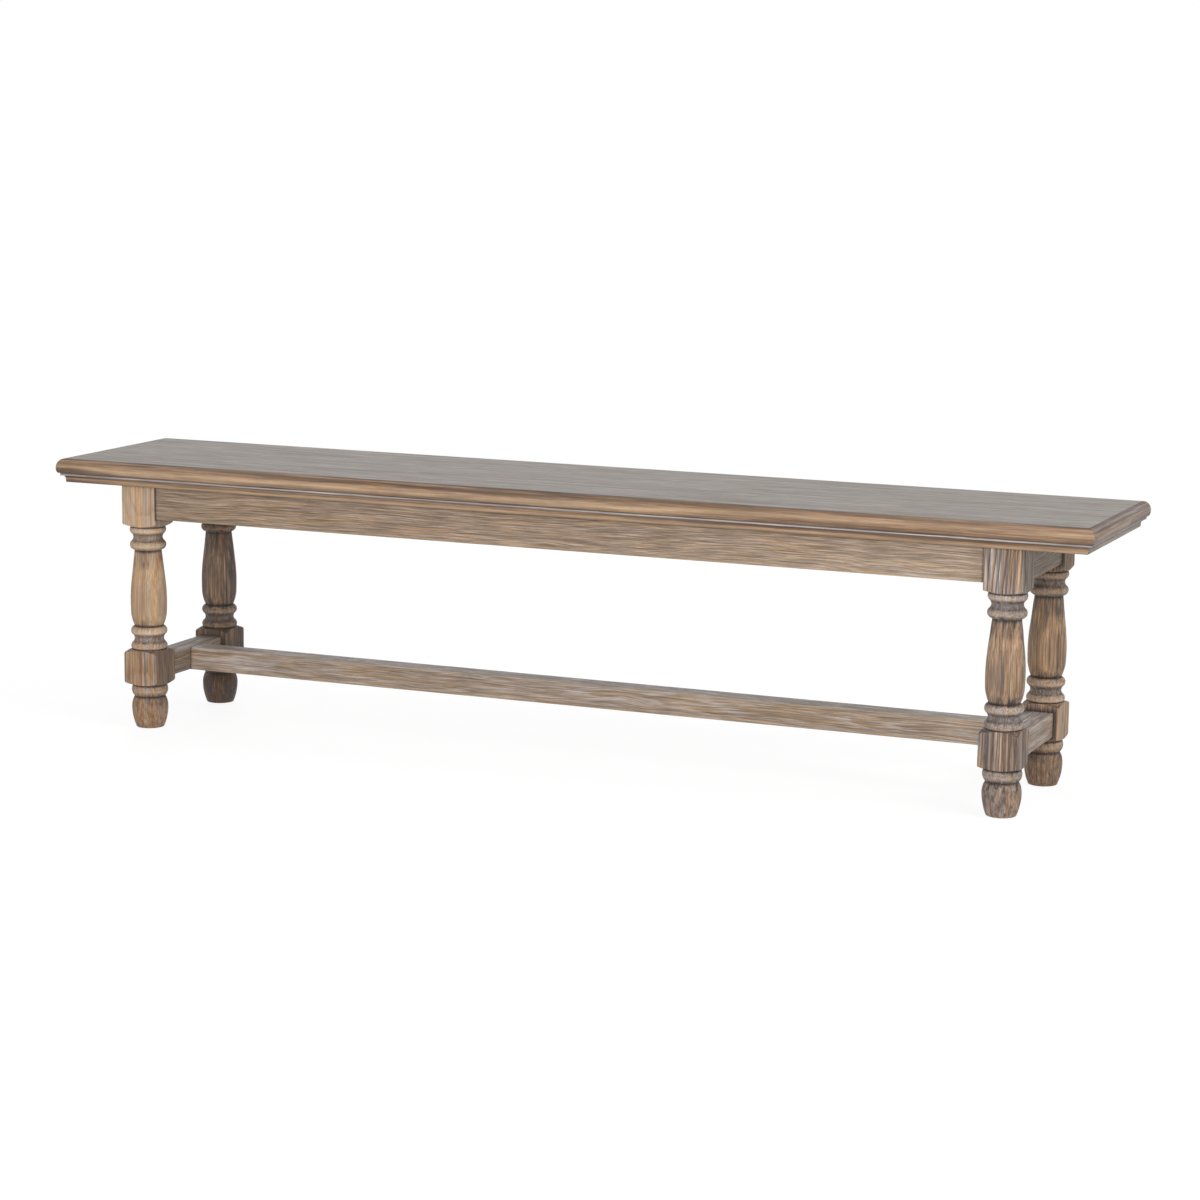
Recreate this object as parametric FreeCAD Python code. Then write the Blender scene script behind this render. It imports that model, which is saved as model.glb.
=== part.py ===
import FreeCAD, Part
import math
import os

V = FreeCAD.Vector

# Dining bench with four turned legs, an H stretcher and a moulded seat edge.
# Millimetres. X runs along the bench, -Y is its front, +Z is up, and the origin is on the floor
# under the middle of the seat.

# Seat
SEAT_HEIGHT = 457.0
FIELD_LENGTH = 1764.0          # flat seat field, inside the nosings
FIELD_DEPTH = 329.0
BOARD_THICKNESS = 24.5
BOARD_NAMES = ("front", "middle", "rear")
TONGUE_THICKNESS = 8.0         # tongues between the boards and behind the nosings
TONGUE_LENGTH = 7.0
TONGUE_SETBACK = 12.0          # nosing tongues stop this far short of the seat corners

# Seat edge
NOSING_PROJECTION = 10.8
NOSING_RUN_ON = 5.5            # the nosing's ellipse would end this far below its flat underside
BED_HEIGHT = 15.3
BED_FILLET_REACH = 5.6         # fillet past the edge of the seat field, under the nosing
BED_FILLET_HEIGHT = 3.9
BED_STEP = 4.6                 # from the fillet in to the top of the cove
BED_COVE_HEIGHT = 8.0
BED_COVE_DEPTH = 2.5

# Legs
END_OVERHANG = 101.5           # seat field past the outer faces of the legs, at each end
SIDE_OVERHANG = 14.5           # the same at the front and rear
LEG_SIDE = 63.0
LEG_ARRIS = 1.5
TURNING_ALLOWANCE = 0.9        # the turning stays this far inside the faces of the blank
FOOT_BASE_RADIUS = 22.3
FOOT_ROUND = 1.5
FOOT_BELLY_HEIGHT = 36.5
FOOT_HEIGHT = 54.6
FOOT_NECK_DEPTH = 5.0
RING_RISE = 10.9               # foot neck to the ring's widest point
RING_FALL = 9.0                # and from there to the lower block
CREASE_DEPTH = 2.2             # where a ring or bead meets a block
SHOULDER_HEIGHT = 8.3          # turned end of a block, from its straight part to the crease
SHOULDER_ROUND_HEIGHT = 4.2    # rounding of the block's corner at the start of the shoulder
SHOULDER_ROUND_DEPTH = 2.8
BLANK_CLEARANCE = 0.05         # the turning is wider than the blank's corners along the blocks
LOWER_BLOCK_MARGIN = 5.5       # straight part of the lower block beyond the stretcher's height
UPPER_BLOCK_MARGIN = 15.7      # upper block below the aprons
BEAD_PITCH = 25.8
BEAD_FROM_BLOCK = 5.5
BEAD_TO_NECK = 8.5
COVE_DEPTH = 6.0
LOWER_NECK_DEPTH = 6.6
UPPER_NECK_DEPTH = 8.0
VASE_FLAT = 0.3                # the vase narrows by this much between its belly and its lower rounding
VASE_ROUND_SHARE = 0.205       # stations of the vase, as shares of its height
VASE_BELLY_SHARE = 0.33
VASE_TAPER_SHARE = 0.59

# Aprons
APRON_HEIGHT = 71.3
APRON_THICKNESS = 21.0
APRON_SETBACK = 4.0            # apron faces behind the leg faces
APRON_ARRIS = 1.2
APRON_TENON_THICKNESS = 9.0
APRON_TENON_LENGTH = 24.0
APRON_TENON_SHOULDER = 9.0     # tenon edges in from the apron's edges

# Stretchers
STRETCHER_HEIGHT = 39.1
STRETCHER_LIFT = 0.9           # above the lower end of the block's straight part
STRETCHER_ARRIS = 2.0
CROSS_STRETCHER_THICKNESS = 44.0
LONG_STRETCHER_THICKNESS = 41.0
STRETCHER_TENON_THICKNESS = 15.0
STRETCHER_TENON_LENGTH = 26.0
STRETCHER_TENON_SHOULDER = 6.0

# Corner blocks and seat bearers
BLOCK_HEIGHT = 40.0
BLOCK_TIP = 8.0                # thickness of a block at the ends of its arms
BLOCK_SPACING = 42.0           # between the two blocks on one end apron
BLOCK_SCREW_FROM_TIP = 17.0
BLOCK_SCREW_SPREAD = 20.0      # between the two screws in one arm
BEARER_WIDTH = 45.0
BEARER_HEIGHT = 25.0
BEARER_SPACING = 420.0
BEARER_HOUSING = 6.0           # depth let into the aprons
BEARER_NAMES = ("left", "middle", "right")

# Screws
SCREW_RADIUS = 2.2
SCREW_HEAD_RADIUS = 4.2
SCREW_HEAD_HEIGHT = 2.8
SCREW_POINT = 5.0
SCREW_GRIP = 15.0              # wood under the head
SCREW_COVER = 8.0              # wood left past the point

# Foot glides
GLIDE_RADIUS = 13.0
GLIDE_THICKNESS = 4.0
GLIDE_PROUD = 1.0              # below the wooden foot
GLIDE_SPIGOT_RADIUS = 4.0
GLIDE_SPIGOT_LENGTH = 10.0
GLIDE_CHAMFER = 0.6

# Clearances
JOINT_CLEARANCE = 0.15         # round tongues, tenons and housed ends
SCREW_CLEARANCE = 0.1
LEG_CLEARANCE = 0.3            # between a leg and the strips and blocks fitted round it
HEAD_CLEARANCE = 0.8           # round a screw head in its pocket

# Places that follow from the sizes
LEG_TOP = SEAT_HEIGHT - BOARD_THICKNESS
TONGUE_LEVEL = SEAT_HEIGHT - BOARD_THICKNESS / 2
LEG_FACE_X = FIELD_LENGTH / 2 - END_OVERHANG
LEG_FACE_Y = FIELD_DEPTH / 2 - SIDE_OVERHANG
LEG_X = LEG_FACE_X - LEG_SIDE / 2
LEG_Y = LEG_FACE_Y - LEG_SIDE / 2
CLEAR_LENGTH = 2 * (LEG_FACE_X - LEG_SIDE)
CLEAR_DEPTH = 2 * (LEG_FACE_Y - LEG_SIDE)
APRON_BASE = LEG_TOP - APRON_HEIGHT
APRON_MIDDLE_INSET = APRON_SETBACK + APRON_THICKNESS / 2
APRON_INSIDE_X = LEG_FACE_X - APRON_SETBACK - APRON_THICKNESS
APRON_INSIDE_Y = LEG_FACE_Y - APRON_SETBACK - APRON_THICKNESS
LOWER_BLOCK_START = FOOT_HEIGHT + RING_RISE + RING_FALL
STRETCHER_BASE = LOWER_BLOCK_START + SHOULDER_HEIGHT + STRETCHER_LIFT
TURNED_RADIUS = LEG_SIDE / 2 - TURNING_ALLOWANCE
UP = V(0, 0, 1)


class Outline:
    """A closed outline in the XZ plane, drawn as straight runs and arcs."""

    def __init__(self, x, z):
        self.first = V(x, 0, z)
        self.here = self.first
        self.edges = []

    def line(self, x, z):
        end = V(x, 0, z)
        self.edges.append(Part.LineSegment(self.here, end).toShape())
        self.here = end

    def arc(self, middle_x, middle_z, x, z):
        end = V(x, 0, z)
        self.edges.append(Part.Arc(self.here, V(middle_x, 0, middle_z), end).toShape())
        self.here = end

    def bulged(self, x, z, bulge):
        """Arc whose middle stands off its chord by bulge, away from the Z axis."""
        run = V(x, 0, z) - self.here
        middle = self.here + run * 0.5
        side = math.copysign(bulge / run.Length, run.z)
        self.arc(middle.x + side * run.z, middle.z - side * run.x, x, z)

    def bow(self, x, z, upright_first):
        """Arc that is upright at its first or at its last point."""
        end = V(x, 0, z)
        peak, other = (self.here, end) if upright_first else (end, self.here)
        swell = peak.x - other.x
        rise = other.z - peak.z
        radius = (rise ** 2 + swell ** 2) / (2 * swell)
        drop = radius - math.copysign(math.sqrt(radius ** 2 - rise ** 2 / 4), radius)
        self.arc(peak.x - drop, peak.z + rise / 2, x, z)

    def face(self):
        self.line(self.first.x, self.first.z)
        return Part.Face(Part.Wire(self.edges))


def box(across, along, height):
    """A block between two limits on each of X, Y and Z, in either order."""
    low = V(min(across), min(along), min(height))
    high = V(max(across), max(along), max(height))
    size = high - low
    return Part.makeBox(size.x, size.y, size.z, low)


def placed(shape, x, y, quarter_turns=0):
    """A copy turned about the Z axis by quarter turns, then moved to (x, y)."""
    copy = shape.copy()
    copy.rotate(V(0, 0, 0), UP, 90 * quarter_turns)
    copy.translate(V(x, y, 0))
    return copy


def aimed(shape, point, direction):
    """A copy whose Z axis starts at a point and runs in a direction."""
    copy = shape.copy()
    copy.Placement = FreeCAD.Placement(point, FreeCAD.Rotation(UP, direction))
    return copy


def eased(solid, radius, lower_only=False):
    """Rounds the edges that run along X, or only the lower two of them."""
    middle = solid.CenterOfMass.z
    edges = []
    for edge in solid.Edges:
        along = abs(edge.tangentAt(edge.FirstParameter).x) > 0.9
        if along and not (lower_only and edge.CenterOfMass.z > middle):
            edges.append(edge)
    return solid.makeFillet(radius, edges)


def sides():
    """The four sides of the seat: name, run, distance of the field's edge, quarter turns from the front."""
    return (("front", FIELD_LENGTH, FIELD_DEPTH / 2, 0),
            ("right", FIELD_DEPTH, FIELD_LENGTH / 2, 1),
            ("rear", FIELD_LENGTH, FIELD_DEPTH / 2, 2),
            ("left", FIELD_DEPTH, FIELD_LENGTH / 2, 3))


def corners():
    """The four corners of the bench: name and signs of X and Y."""
    return (("front_left", -1, -1), ("front_right", 1, -1), ("rear_left", -1, 1), ("rear_right", 1, 1))


def set_along_side(shape, edge, quarter_turns):
    """Puts a strip that is drawn with the field's edge at Y = 0, outward to -Y, on its side of the seat."""
    strip = placed(shape, 0, -edge)
    strip.rotate(V(0, 0, 0), UP, 90 * quarter_turns)
    return strip


def mitred(section, run, inner, outer):
    """A strip of a section along X, mitred; inner and outer are how far it reaches from the field's edge."""
    half = run / 2 + max(outer, 0) + LEG_SIDE
    section.rotate(V(0, 0, 0), UP, -90)
    section.translate(V(-half, 0, 0))
    strip = section.extrude(V(2 * half, 0, 0))
    plan = [V(-run / 2 + inner, inner), V(run / 2 - inner, inner),
            V(run / 2 + outer, -outer), V(-run / 2 - outer, -outer)]
    plan.append(plan[0])
    limits = Part.Face(Part.makePolygon(plan)).extrude(V(0, 0, 2 * SEAT_HEIGHT))
    return strip.common(limits)


# Seat

def nosing_tongue(run, grow=0.0):
    half = run / 2 - TONGUE_SETBACK + grow
    thick = TONGUE_THICKNESS / 2 + grow
    return box((-half, half), (0, TONGUE_LENGTH + grow), (TONGUE_LEVEL - thick, TONGUE_LEVEL + thick))


def nosing(run):
    """Strip as thick as the boards: most of a half ellipse with a flat underside, and a tongue behind it."""
    half = (BOARD_THICKNESS + NOSING_RUN_ON) / 2
    drop = BOARD_THICKNESS / half - 1
    reach = math.sqrt(1 - drop ** 2)
    part_round = Part.Arc(UP, V(1, 0, 0), V(reach, 0, -drop)).toShape()
    stretch = FreeCAD.Matrix()
    stretch.scale(NOSING_PROJECTION, 1, half)
    curve = part_round.transformGeometry(stretch)
    corners_behind = [V(reach * NOSING_PROJECTION, 0, -drop * half), V(0, 0, -drop * half), V(0, 0, half)]
    behind = Part.makePolygon(corners_behind)
    section = Part.Face(Part.Wire([curve] + behind.Edges))
    section.translate(V(0, 0, SEAT_HEIGHT - half))
    strip = mitred(section, run, 0, NOSING_PROJECTION)
    return strip.fuse(nosing_tongue(run)).removeSplitter()


def bed_moulding(run):
    """Strip below the seat: a fillet, a cove and a plain lower band, up to the faces of the legs."""
    fillet = BED_FILLET_REACH
    cove = fillet - BED_STEP
    band = cove - BED_COVE_DEPTH
    back = LEG_CLEARANCE - SIDE_OVERHANG
    cove_top = LEG_TOP - BED_FILLET_HEIGHT
    cove_base = cove_top - BED_COVE_HEIGHT
    base = LEG_TOP - BED_HEIGHT
    drawing = Outline(back, base)
    drawing.line(band, base)
    drawing.line(band, cove_base)
    drawing.bow(cove, cove_top, upright_first=True)
    drawing.line(fillet, cove_top)
    drawing.line(fillet, LEG_TOP)
    drawing.line(back, LEG_TOP)
    return mitred(drawing.face(), run, -back, fillet)


def board_tongue(edge, grow=0.0):
    """Tongue along the rear edge of a board, or the groove for it in the next one."""
    half = FIELD_LENGTH / 2
    thick = TONGUE_THICKNESS / 2 + grow
    return box((-half, half), (edge, edge + TONGUE_LENGTH + grow), (TONGUE_LEVEL - thick, TONGUE_LEVEL + thick))


def seat_boards():
    """Tongued and grooved boards, grooved round the outside for the nosings."""
    width = FIELD_DEPTH / len(BOARD_NAMES)
    grooves = []
    for name, run, edge, turns in sides():
        grooves.append(set_along_side(nosing_tongue(run, JOINT_CLEARANCE), edge, turns))
    boards = {}
    for index, name in enumerate(BOARD_NAMES):
        front = index * width - FIELD_DEPTH / 2
        rear = front + width
        board = box((-FIELD_LENGTH / 2, FIELD_LENGTH / 2), (front, rear), (LEG_TOP, SEAT_HEIGHT))
        if index + 1 < len(BOARD_NAMES):
            board = board.fuse(board_tongue(rear))
        if index > 0:
            board = board.cut(board_tongue(front, JOINT_CLEARANCE))
        boards["seat_board_" + name] = board.cut(grooves).removeSplitter()
    return boards


def board_middles():
    width = FIELD_DEPTH / len(BOARD_NAMES)
    return [(index + 0.5) * width - FIELD_DEPTH / 2 for index in range(len(BOARD_NAMES))]


# Legs

def block_corner():
    """Radius that clears the eased corners of the blank."""
    return LEG_SIDE / math.sqrt(2) - LEG_ARRIS * (math.sqrt(2) - 1) + BLANK_CLEARANCE


def draw_shoulder_out(drawing, base):
    """From the crease at the lower end of a block out to its straight part."""
    top = base + SHOULDER_HEIGHT
    drawing.line(block_corner() - SHOULDER_ROUND_DEPTH, top - SHOULDER_ROUND_HEIGHT)
    drawing.bow(block_corner(), top, upright_first=False)


def draw_shoulder_in(drawing, crease, base):
    """From the straight part of a block in to the crease at its upper end."""
    drawing.bow(block_corner() - SHOULDER_ROUND_DEPTH, base + SHOULDER_ROUND_HEIGHT, upright_first=True)
    drawing.line(crease, base + SHOULDER_HEIGHT)


def draw_bead_pair(drawing, first, last):
    """From the peak of one bead, through a cove, to the peak of the next."""
    middle = (first + last) / 2
    quarter = (last - first) / 4
    mean = TURNED_RADIUS - COVE_DEPTH / 2
    drawing.bow(mean, first + quarter, upright_first=True)
    drawing.bow(TURNED_RADIUS - COVE_DEPTH, middle, upright_first=False)
    drawing.bow(mean, last - quarter, upright_first=True)
    drawing.bow(TURNED_RADIUS, last, upright_first=False)


def draw_vase(drawing, neck, upper_neck):
    """Rounded lower end, full belly and a straight taper to the upper neck."""
    height = upper_neck - neck
    belly = neck + VASE_BELLY_SHARE * height
    taper = neck + VASE_TAPER_SHARE * height
    swell = taper - belly
    fall = UPPER_NECK_DEPTH * swell / (2 * (upper_neck - taper) + swell)
    drawing.bow(TURNED_RADIUS - VASE_FLAT, neck + VASE_ROUND_SHARE * height, upright_first=False)
    drawing.bow(TURNED_RADIUS, belly, upright_first=False)
    drawing.bow(TURNED_RADIUS - fall, taper, upright_first=True)
    drawing.line(TURNED_RADIUS - UPPER_NECK_DEPTH, upper_neck)


def turning():
    """Solid of revolution that shapes a leg blank, wider than the blank's corners along the two blocks."""
    crease = TURNED_RADIUS - CREASE_DEPTH
    rim = FOOT_BASE_RADIUS + FOOT_ROUND
    lower_straight = LOWER_BLOCK_START + SHOULDER_HEIGHT
    lower_straight_end = lower_straight + STRETCHER_HEIGHT + LOWER_BLOCK_MARGIN
    lower_end = lower_straight_end + SHOULDER_HEIGHT
    upper_start = APRON_BASE - UPPER_BLOCK_MARGIN
    bead_a = lower_end + BEAD_FROM_BLOCK
    bead_b = bead_a + BEAD_PITCH
    bead_d = upper_start - BEAD_FROM_BLOCK
    bead_c = bead_d - BEAD_PITCH
    drawing = Outline(0, GLIDE_PROUD)
    drawing.line(FOOT_BASE_RADIUS, GLIDE_PROUD)
    drawing.bulged(rim, GLIDE_PROUD + FOOT_ROUND, FOOT_ROUND * (1 - math.sqrt(0.5)) / 2)
    drawing.bow(TURNED_RADIUS, FOOT_BELLY_HEIGHT, upright_first=False)
    drawing.bow(TURNED_RADIUS - FOOT_NECK_DEPTH, FOOT_HEIGHT, upright_first=True)
    drawing.bow(TURNED_RADIUS, FOOT_HEIGHT + RING_RISE, upright_first=False)
    drawing.bow(crease, LOWER_BLOCK_START, upright_first=True)
    draw_shoulder_out(drawing, LOWER_BLOCK_START)
    drawing.line(block_corner(), lower_straight_end)
    draw_shoulder_in(drawing, crease, lower_straight_end)
    drawing.bow(TURNED_RADIUS, bead_a, upright_first=False)
    draw_bead_pair(drawing, bead_a, bead_b)
    drawing.bow(TURNED_RADIUS - LOWER_NECK_DEPTH, bead_b + BEAD_TO_NECK, upright_first=True)
    draw_vase(drawing, bead_b + BEAD_TO_NECK, bead_c - BEAD_TO_NECK)
    drawing.bow(TURNED_RADIUS, bead_c, upright_first=False)
    draw_bead_pair(drawing, bead_c, bead_d)
    drawing.bow(crease, upper_start, upright_first=True)
    draw_shoulder_out(drawing, upper_start)
    drawing.line(block_corner(), LEG_TOP)
    drawing.line(0, LEG_TOP)
    return drawing.face().revolve(V(0, 0, 0), UP, 360)


def turned_leg():
    """Square blank with eased arrises, turned between its two blocks and at its foot, with a glide recess."""
    half = LEG_SIDE / 2
    blank = box((-half, half), (-half, half), (GLIDE_PROUD, LEG_TOP))
    upright = [edge for edge in blank.Edges if abs(edge.tangentAt(edge.FirstParameter).z) > 0.9]
    blank = blank.makeFillet(LEG_ARRIS, upright)
    return blank.common(turning()).cut(glide(JOINT_CLEARANCE))


def glide(grow=0.0):
    """Disc and spigot let into a foot; grown sideways, and up the spigot, it is the recess for it."""
    disc = Part.makeCylinder(GLIDE_RADIUS + grow, GLIDE_THICKNESS)
    if not grow:
        disc = disc.makeChamfer(GLIDE_CHAMFER, [edge for edge in disc.Edges if edge.BoundBox.ZMax < GLIDE_CHAMFER])
    spigot = Part.makeCylinder(GLIDE_SPIGOT_RADIUS + grow, GLIDE_SPIGOT_LENGTH + grow, V(0, 0, GLIDE_THICKNESS))
    return disc.fuse(spigot).removeSplitter()


# Rails: each is drawn along X about the Z axis

def rail_tenons(run, thickness, length, levels, grow=0.0):
    """Tenons at both ends of a rail, or the mortises for them."""
    across = (-thickness / 2 - grow, thickness / 2 + grow)
    height = (levels[0] - grow, levels[1] + grow)
    return [box((end * run / 2, end * (run / 2 + length + grow)), across, height) for end in (-1, 1)]


def apron_tenons(run, grow=0.0):
    levels = (APRON_BASE + APRON_TENON_SHOULDER, LEG_TOP - APRON_TENON_SHOULDER)
    return rail_tenons(run, APRON_TENON_THICKNESS, APRON_TENON_LENGTH, levels, grow)


def stretcher_tenons(run, grow=0.0):
    top = STRETCHER_BASE + STRETCHER_HEIGHT
    levels = (STRETCHER_BASE + STRETCHER_TENON_SHOULDER, top - STRETCHER_TENON_SHOULDER)
    return rail_tenons(run, STRETCHER_TENON_THICKNESS, STRETCHER_TENON_LENGTH, levels, grow)


def apron(run):
    half = APRON_THICKNESS / 2
    board = box((-run / 2, run / 2), (-half, half), (APRON_BASE, LEG_TOP))
    return eased(board, APRON_ARRIS, lower_only=True).fuse(apron_tenons(run))


def stretcher(run, thickness):
    half = thickness / 2
    bar = box((-run / 2, run / 2), (-half, half), (STRETCHER_BASE, STRETCHER_BASE + STRETCHER_HEIGHT))
    return eased(bar, STRETCHER_ARRIS).fuse(stretcher_tenons(run))


def apron_places():
    """Name, run, centre and quarter turns of each apron."""
    middle_x = LEG_FACE_X - APRON_MIDDLE_INSET
    middle_y = LEG_FACE_Y - APRON_MIDDLE_INSET
    return (("front_apron", CLEAR_LENGTH, 0, -middle_y, 0),
            ("rear_apron", CLEAR_LENGTH, 0, middle_y, 0),
            ("left_apron", CLEAR_DEPTH, -middle_x, 0, 1),
            ("right_apron", CLEAR_DEPTH, middle_x, 0, 1))


def cross_stretcher_places():
    return (("left_cross_stretcher", -LEG_X), ("right_cross_stretcher", LEG_X))


def long_stretcher_run():
    return 2 * LEG_X - CROSS_STRETCHER_THICKNESS


# Corner blocks and bearers

def block_reach():
    """How far the arms of a corner block reach past the inner faces of a leg."""
    return (CLEAR_DEPTH - BLOCK_SPACING) / 2


def corner_block(sign_x, sign_y):
    """Triangular block in the angle of two aprons, notched round the leg."""
    leg_x = LEG_FACE_X - LEG_SIDE - LEG_CLEARANCE
    leg_y = LEG_FACE_Y - LEG_SIDE - LEG_CLEARANCE
    far_x = LEG_FACE_X - LEG_SIDE - block_reach()
    far_y = LEG_FACE_Y - LEG_SIDE - block_reach()
    plan = [(far_x, APRON_INSIDE_Y), (leg_x, APRON_INSIDE_Y), (leg_x, leg_y), (APRON_INSIDE_X, leg_y),
            (APRON_INSIDE_X, far_y), (APRON_INSIDE_X - BLOCK_TIP, far_y), (far_x, APRON_INSIDE_Y - BLOCK_TIP)]
    points = [V(sign_x * x, sign_y * y, LEG_TOP - BLOCK_HEIGHT) for x, y in plan]
    points.append(points[0])
    return Part.Face(Part.makePolygon(points)).extrude(V(0, 0, BLOCK_HEIGHT))


def bearer(position, grow=0.0):
    """Rail under the seat boards, with its ends housed in the long aprons."""
    half_width = BEARER_WIDTH / 2 + grow
    half_length = APRON_INSIDE_Y + BEARER_HOUSING + grow
    base = LEG_TOP - BEARER_HEIGHT - grow
    return box((position - half_width, position + half_width), (-half_length, half_length), (base, LEG_TOP))


def bearer_positions():
    middle = (len(BEARER_NAMES) - 1) / 2
    return [(index - middle) * BEARER_SPACING for index in range(len(BEARER_NAMES))]


# Screws: each place is the seat of the head, the direction of the point and the length below the head

def screw(length):
    drawing = Outline(0, length)
    drawing.line(SCREW_RADIUS, length - SCREW_POINT)
    drawing.line(SCREW_RADIUS, 0)
    drawing.line(SCREW_HEAD_RADIUS, 0)
    drawing.bow(SCREW_RADIUS, -SCREW_HEAD_HEIGHT, upright_first=True)
    drawing.line(0, -SCREW_HEAD_HEIGHT)
    return drawing.face().revolve(V(0, 0, 0), UP, 360)


def screw_hole(length, pocket):
    """Hole for a screw, with a pocket for its head that runs out of the wood."""
    shank = Part.makeCylinder(SCREW_RADIUS + SCREW_CLEARANCE, length + SCREW_CLEARANCE)
    head = Part.makeCylinder(SCREW_HEAD_RADIUS + HEAD_CLEARANCE, pocket, V(0, 0, -pocket))
    return shank.fuse(head)


def block_screw_places():
    """Two screws through each arm of each corner block, into the aprons."""
    length = SCREW_GRIP + APRON_THICKNESS - SCREW_COVER
    tip_x = LEG_FACE_X - LEG_SIDE - block_reach()
    tip_y = LEG_FACE_Y - LEG_SIDE - block_reach()
    places = []
    for name, sign_x, sign_y in corners():
        for offset in (-0.5, 0.5):
            level = LEG_TOP - BLOCK_HEIGHT / 2 + offset * BLOCK_SCREW_SPREAD
            along_x = V(sign_x * (tip_x + BLOCK_SCREW_FROM_TIP), sign_y * (APRON_INSIDE_Y - SCREW_GRIP), level)
            along_y = V(sign_x * (APRON_INSIDE_X - SCREW_GRIP), sign_y * (tip_y + BLOCK_SCREW_FROM_TIP), level)
            places.append((along_x, V(0, sign_y, 0), length))
            places.append((along_y, V(sign_x, 0, 0), length))
    return places


def seat_screw_length():
    return SCREW_GRIP + BOARD_THICKNESS - SCREW_COVER


def seat_screw_places():
    """One screw up through the web of each corner block, into the seat."""
    web = block_reach() + BLOCK_TIP - (APRON_INSIDE_Y - CLEAR_DEPTH / 2)
    inset = LEG_CLEARANCE + web / 4
    return [(V(sign_x * (LEG_FACE_X - LEG_SIDE - inset), sign_y * (LEG_FACE_Y - LEG_SIDE - inset),
               LEG_TOP - SCREW_GRIP), UP, seat_screw_length()) for name, sign_x, sign_y in corners()]


def bearer_screw_places():
    """One screw through each bearer into each seat board."""
    return [(V(x, y, LEG_TOP - SCREW_GRIP), UP, seat_screw_length())
            for x in bearer_positions() for y in board_middles()]


def screws(places):
    return [aimed(screw(length), point, direction) for point, direction, length in places]


def screw_holes(places, pocket):
    return [aimed(screw_hole(length, pocket), point, direction) for point, direction, length in places]


# Assembly

def build():
    """Every node of the bench, by name."""
    nodes = {}
    block_holes = screw_holes(block_screw_places(), BLOCK_HEIGHT)
    seat_holes = screw_holes(seat_screw_places(), BLOCK_HEIGHT)
    bearer_holes = screw_holes(bearer_screw_places(), BEARER_HEIGHT)

    for name, board in seat_boards().items():
        nodes[name] = board.cut(seat_holes + bearer_holes)

    for name, run, edge, turns in sides():
        nodes["edge_nosing_" + name] = set_along_side(nosing(run), edge, turns)
        nodes["bed_moulding_" + name] = set_along_side(bed_moulding(run), edge, turns)

    mortises = []
    housings = [bearer(x, JOINT_CLEARANCE) for x in bearer_positions()]
    for name, run, x, y, turns in apron_places():
        nodes[name] = placed(apron(run), x, y, turns).cut(housings + block_holes)
        mortises += [placed(tenon, x, y, turns) for tenon in apron_tenons(run, JOINT_CLEARANCE)]

    long_run = long_stretcher_run()
    nodes["long_stretcher"] = stretcher(long_run, LONG_STRETCHER_THICKNESS)
    long_mortises = stretcher_tenons(long_run, JOINT_CLEARANCE)
    for name, x in cross_stretcher_places():
        cross = placed(stretcher(CLEAR_DEPTH, CROSS_STRETCHER_THICKNESS), x, 0, 1)
        nodes[name] = cross.cut(long_mortises)
        mortises += [placed(tenon, x, 0, 1) for tenon in stretcher_tenons(CLEAR_DEPTH, JOINT_CLEARANCE)]

    leg = turned_leg()
    for name, sign_x, sign_y in corners():
        x = sign_x * LEG_X
        y = sign_y * LEG_Y
        nodes["leg_" + name] = placed(leg, x, y).cut(mortises)
        nodes["foot_glide_" + name] = placed(glide(), x, y)
        nodes["corner_block_" + name] = corner_block(sign_x, sign_y).cut(block_holes + seat_holes)

    for name, x in zip(BEARER_NAMES, bearer_positions()):
        nodes["seat_bearer_" + name] = bearer(x).cut(bearer_holes)

    nodes["corner_block_screws"] = Part.makeCompound(screws(block_screw_places()))
    nodes["seat_screws"] = Part.makeCompound(screws(seat_screw_places()))
    nodes["bearer_screws"] = Part.makeCompound(screws(bearer_screw_places()))
    return nodes


os.makedirs("parts", exist_ok=True)
for node, shape in build().items():
    shape.exportStep("parts/" + node + ".step")
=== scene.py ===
import itertools
import math
from types import SimpleNamespace

import bpy
import numpy as np
from mathutils import Matrix, Vector


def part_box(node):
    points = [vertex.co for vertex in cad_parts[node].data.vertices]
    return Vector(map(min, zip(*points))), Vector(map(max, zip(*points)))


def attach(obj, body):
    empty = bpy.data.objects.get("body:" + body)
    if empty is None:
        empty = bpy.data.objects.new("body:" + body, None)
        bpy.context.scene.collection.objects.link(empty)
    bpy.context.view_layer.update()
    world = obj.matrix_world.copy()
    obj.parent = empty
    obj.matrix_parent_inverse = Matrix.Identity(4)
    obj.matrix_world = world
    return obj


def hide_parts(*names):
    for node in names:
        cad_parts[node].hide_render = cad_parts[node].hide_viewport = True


# Dining bench: the looks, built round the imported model.
# Metres, in the frame of the model: X runs along the bench, -Y is its front and +Z is up.

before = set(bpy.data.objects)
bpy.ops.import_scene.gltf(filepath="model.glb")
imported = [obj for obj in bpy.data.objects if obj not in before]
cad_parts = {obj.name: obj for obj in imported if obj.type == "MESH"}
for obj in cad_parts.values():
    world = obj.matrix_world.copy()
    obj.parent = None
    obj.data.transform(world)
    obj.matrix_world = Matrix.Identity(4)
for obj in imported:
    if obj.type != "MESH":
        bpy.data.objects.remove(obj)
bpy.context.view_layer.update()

MM = 0.001
CORNERS = ("front_left", "front_right", "rear_left", "rear_right")
SIDES = ("front", "right", "rear", "left")

# Camera
CAMERA_PLACE = (2.02677, -4.68071, 1.12791)
CAMERA_YAW = 23.09
CAMERA_PITCH = 9.68
CAMERA_ROLL = -0.60
CAMERA_LENS = 94.97
SENSOR_WIDTH = 36.0

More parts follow.
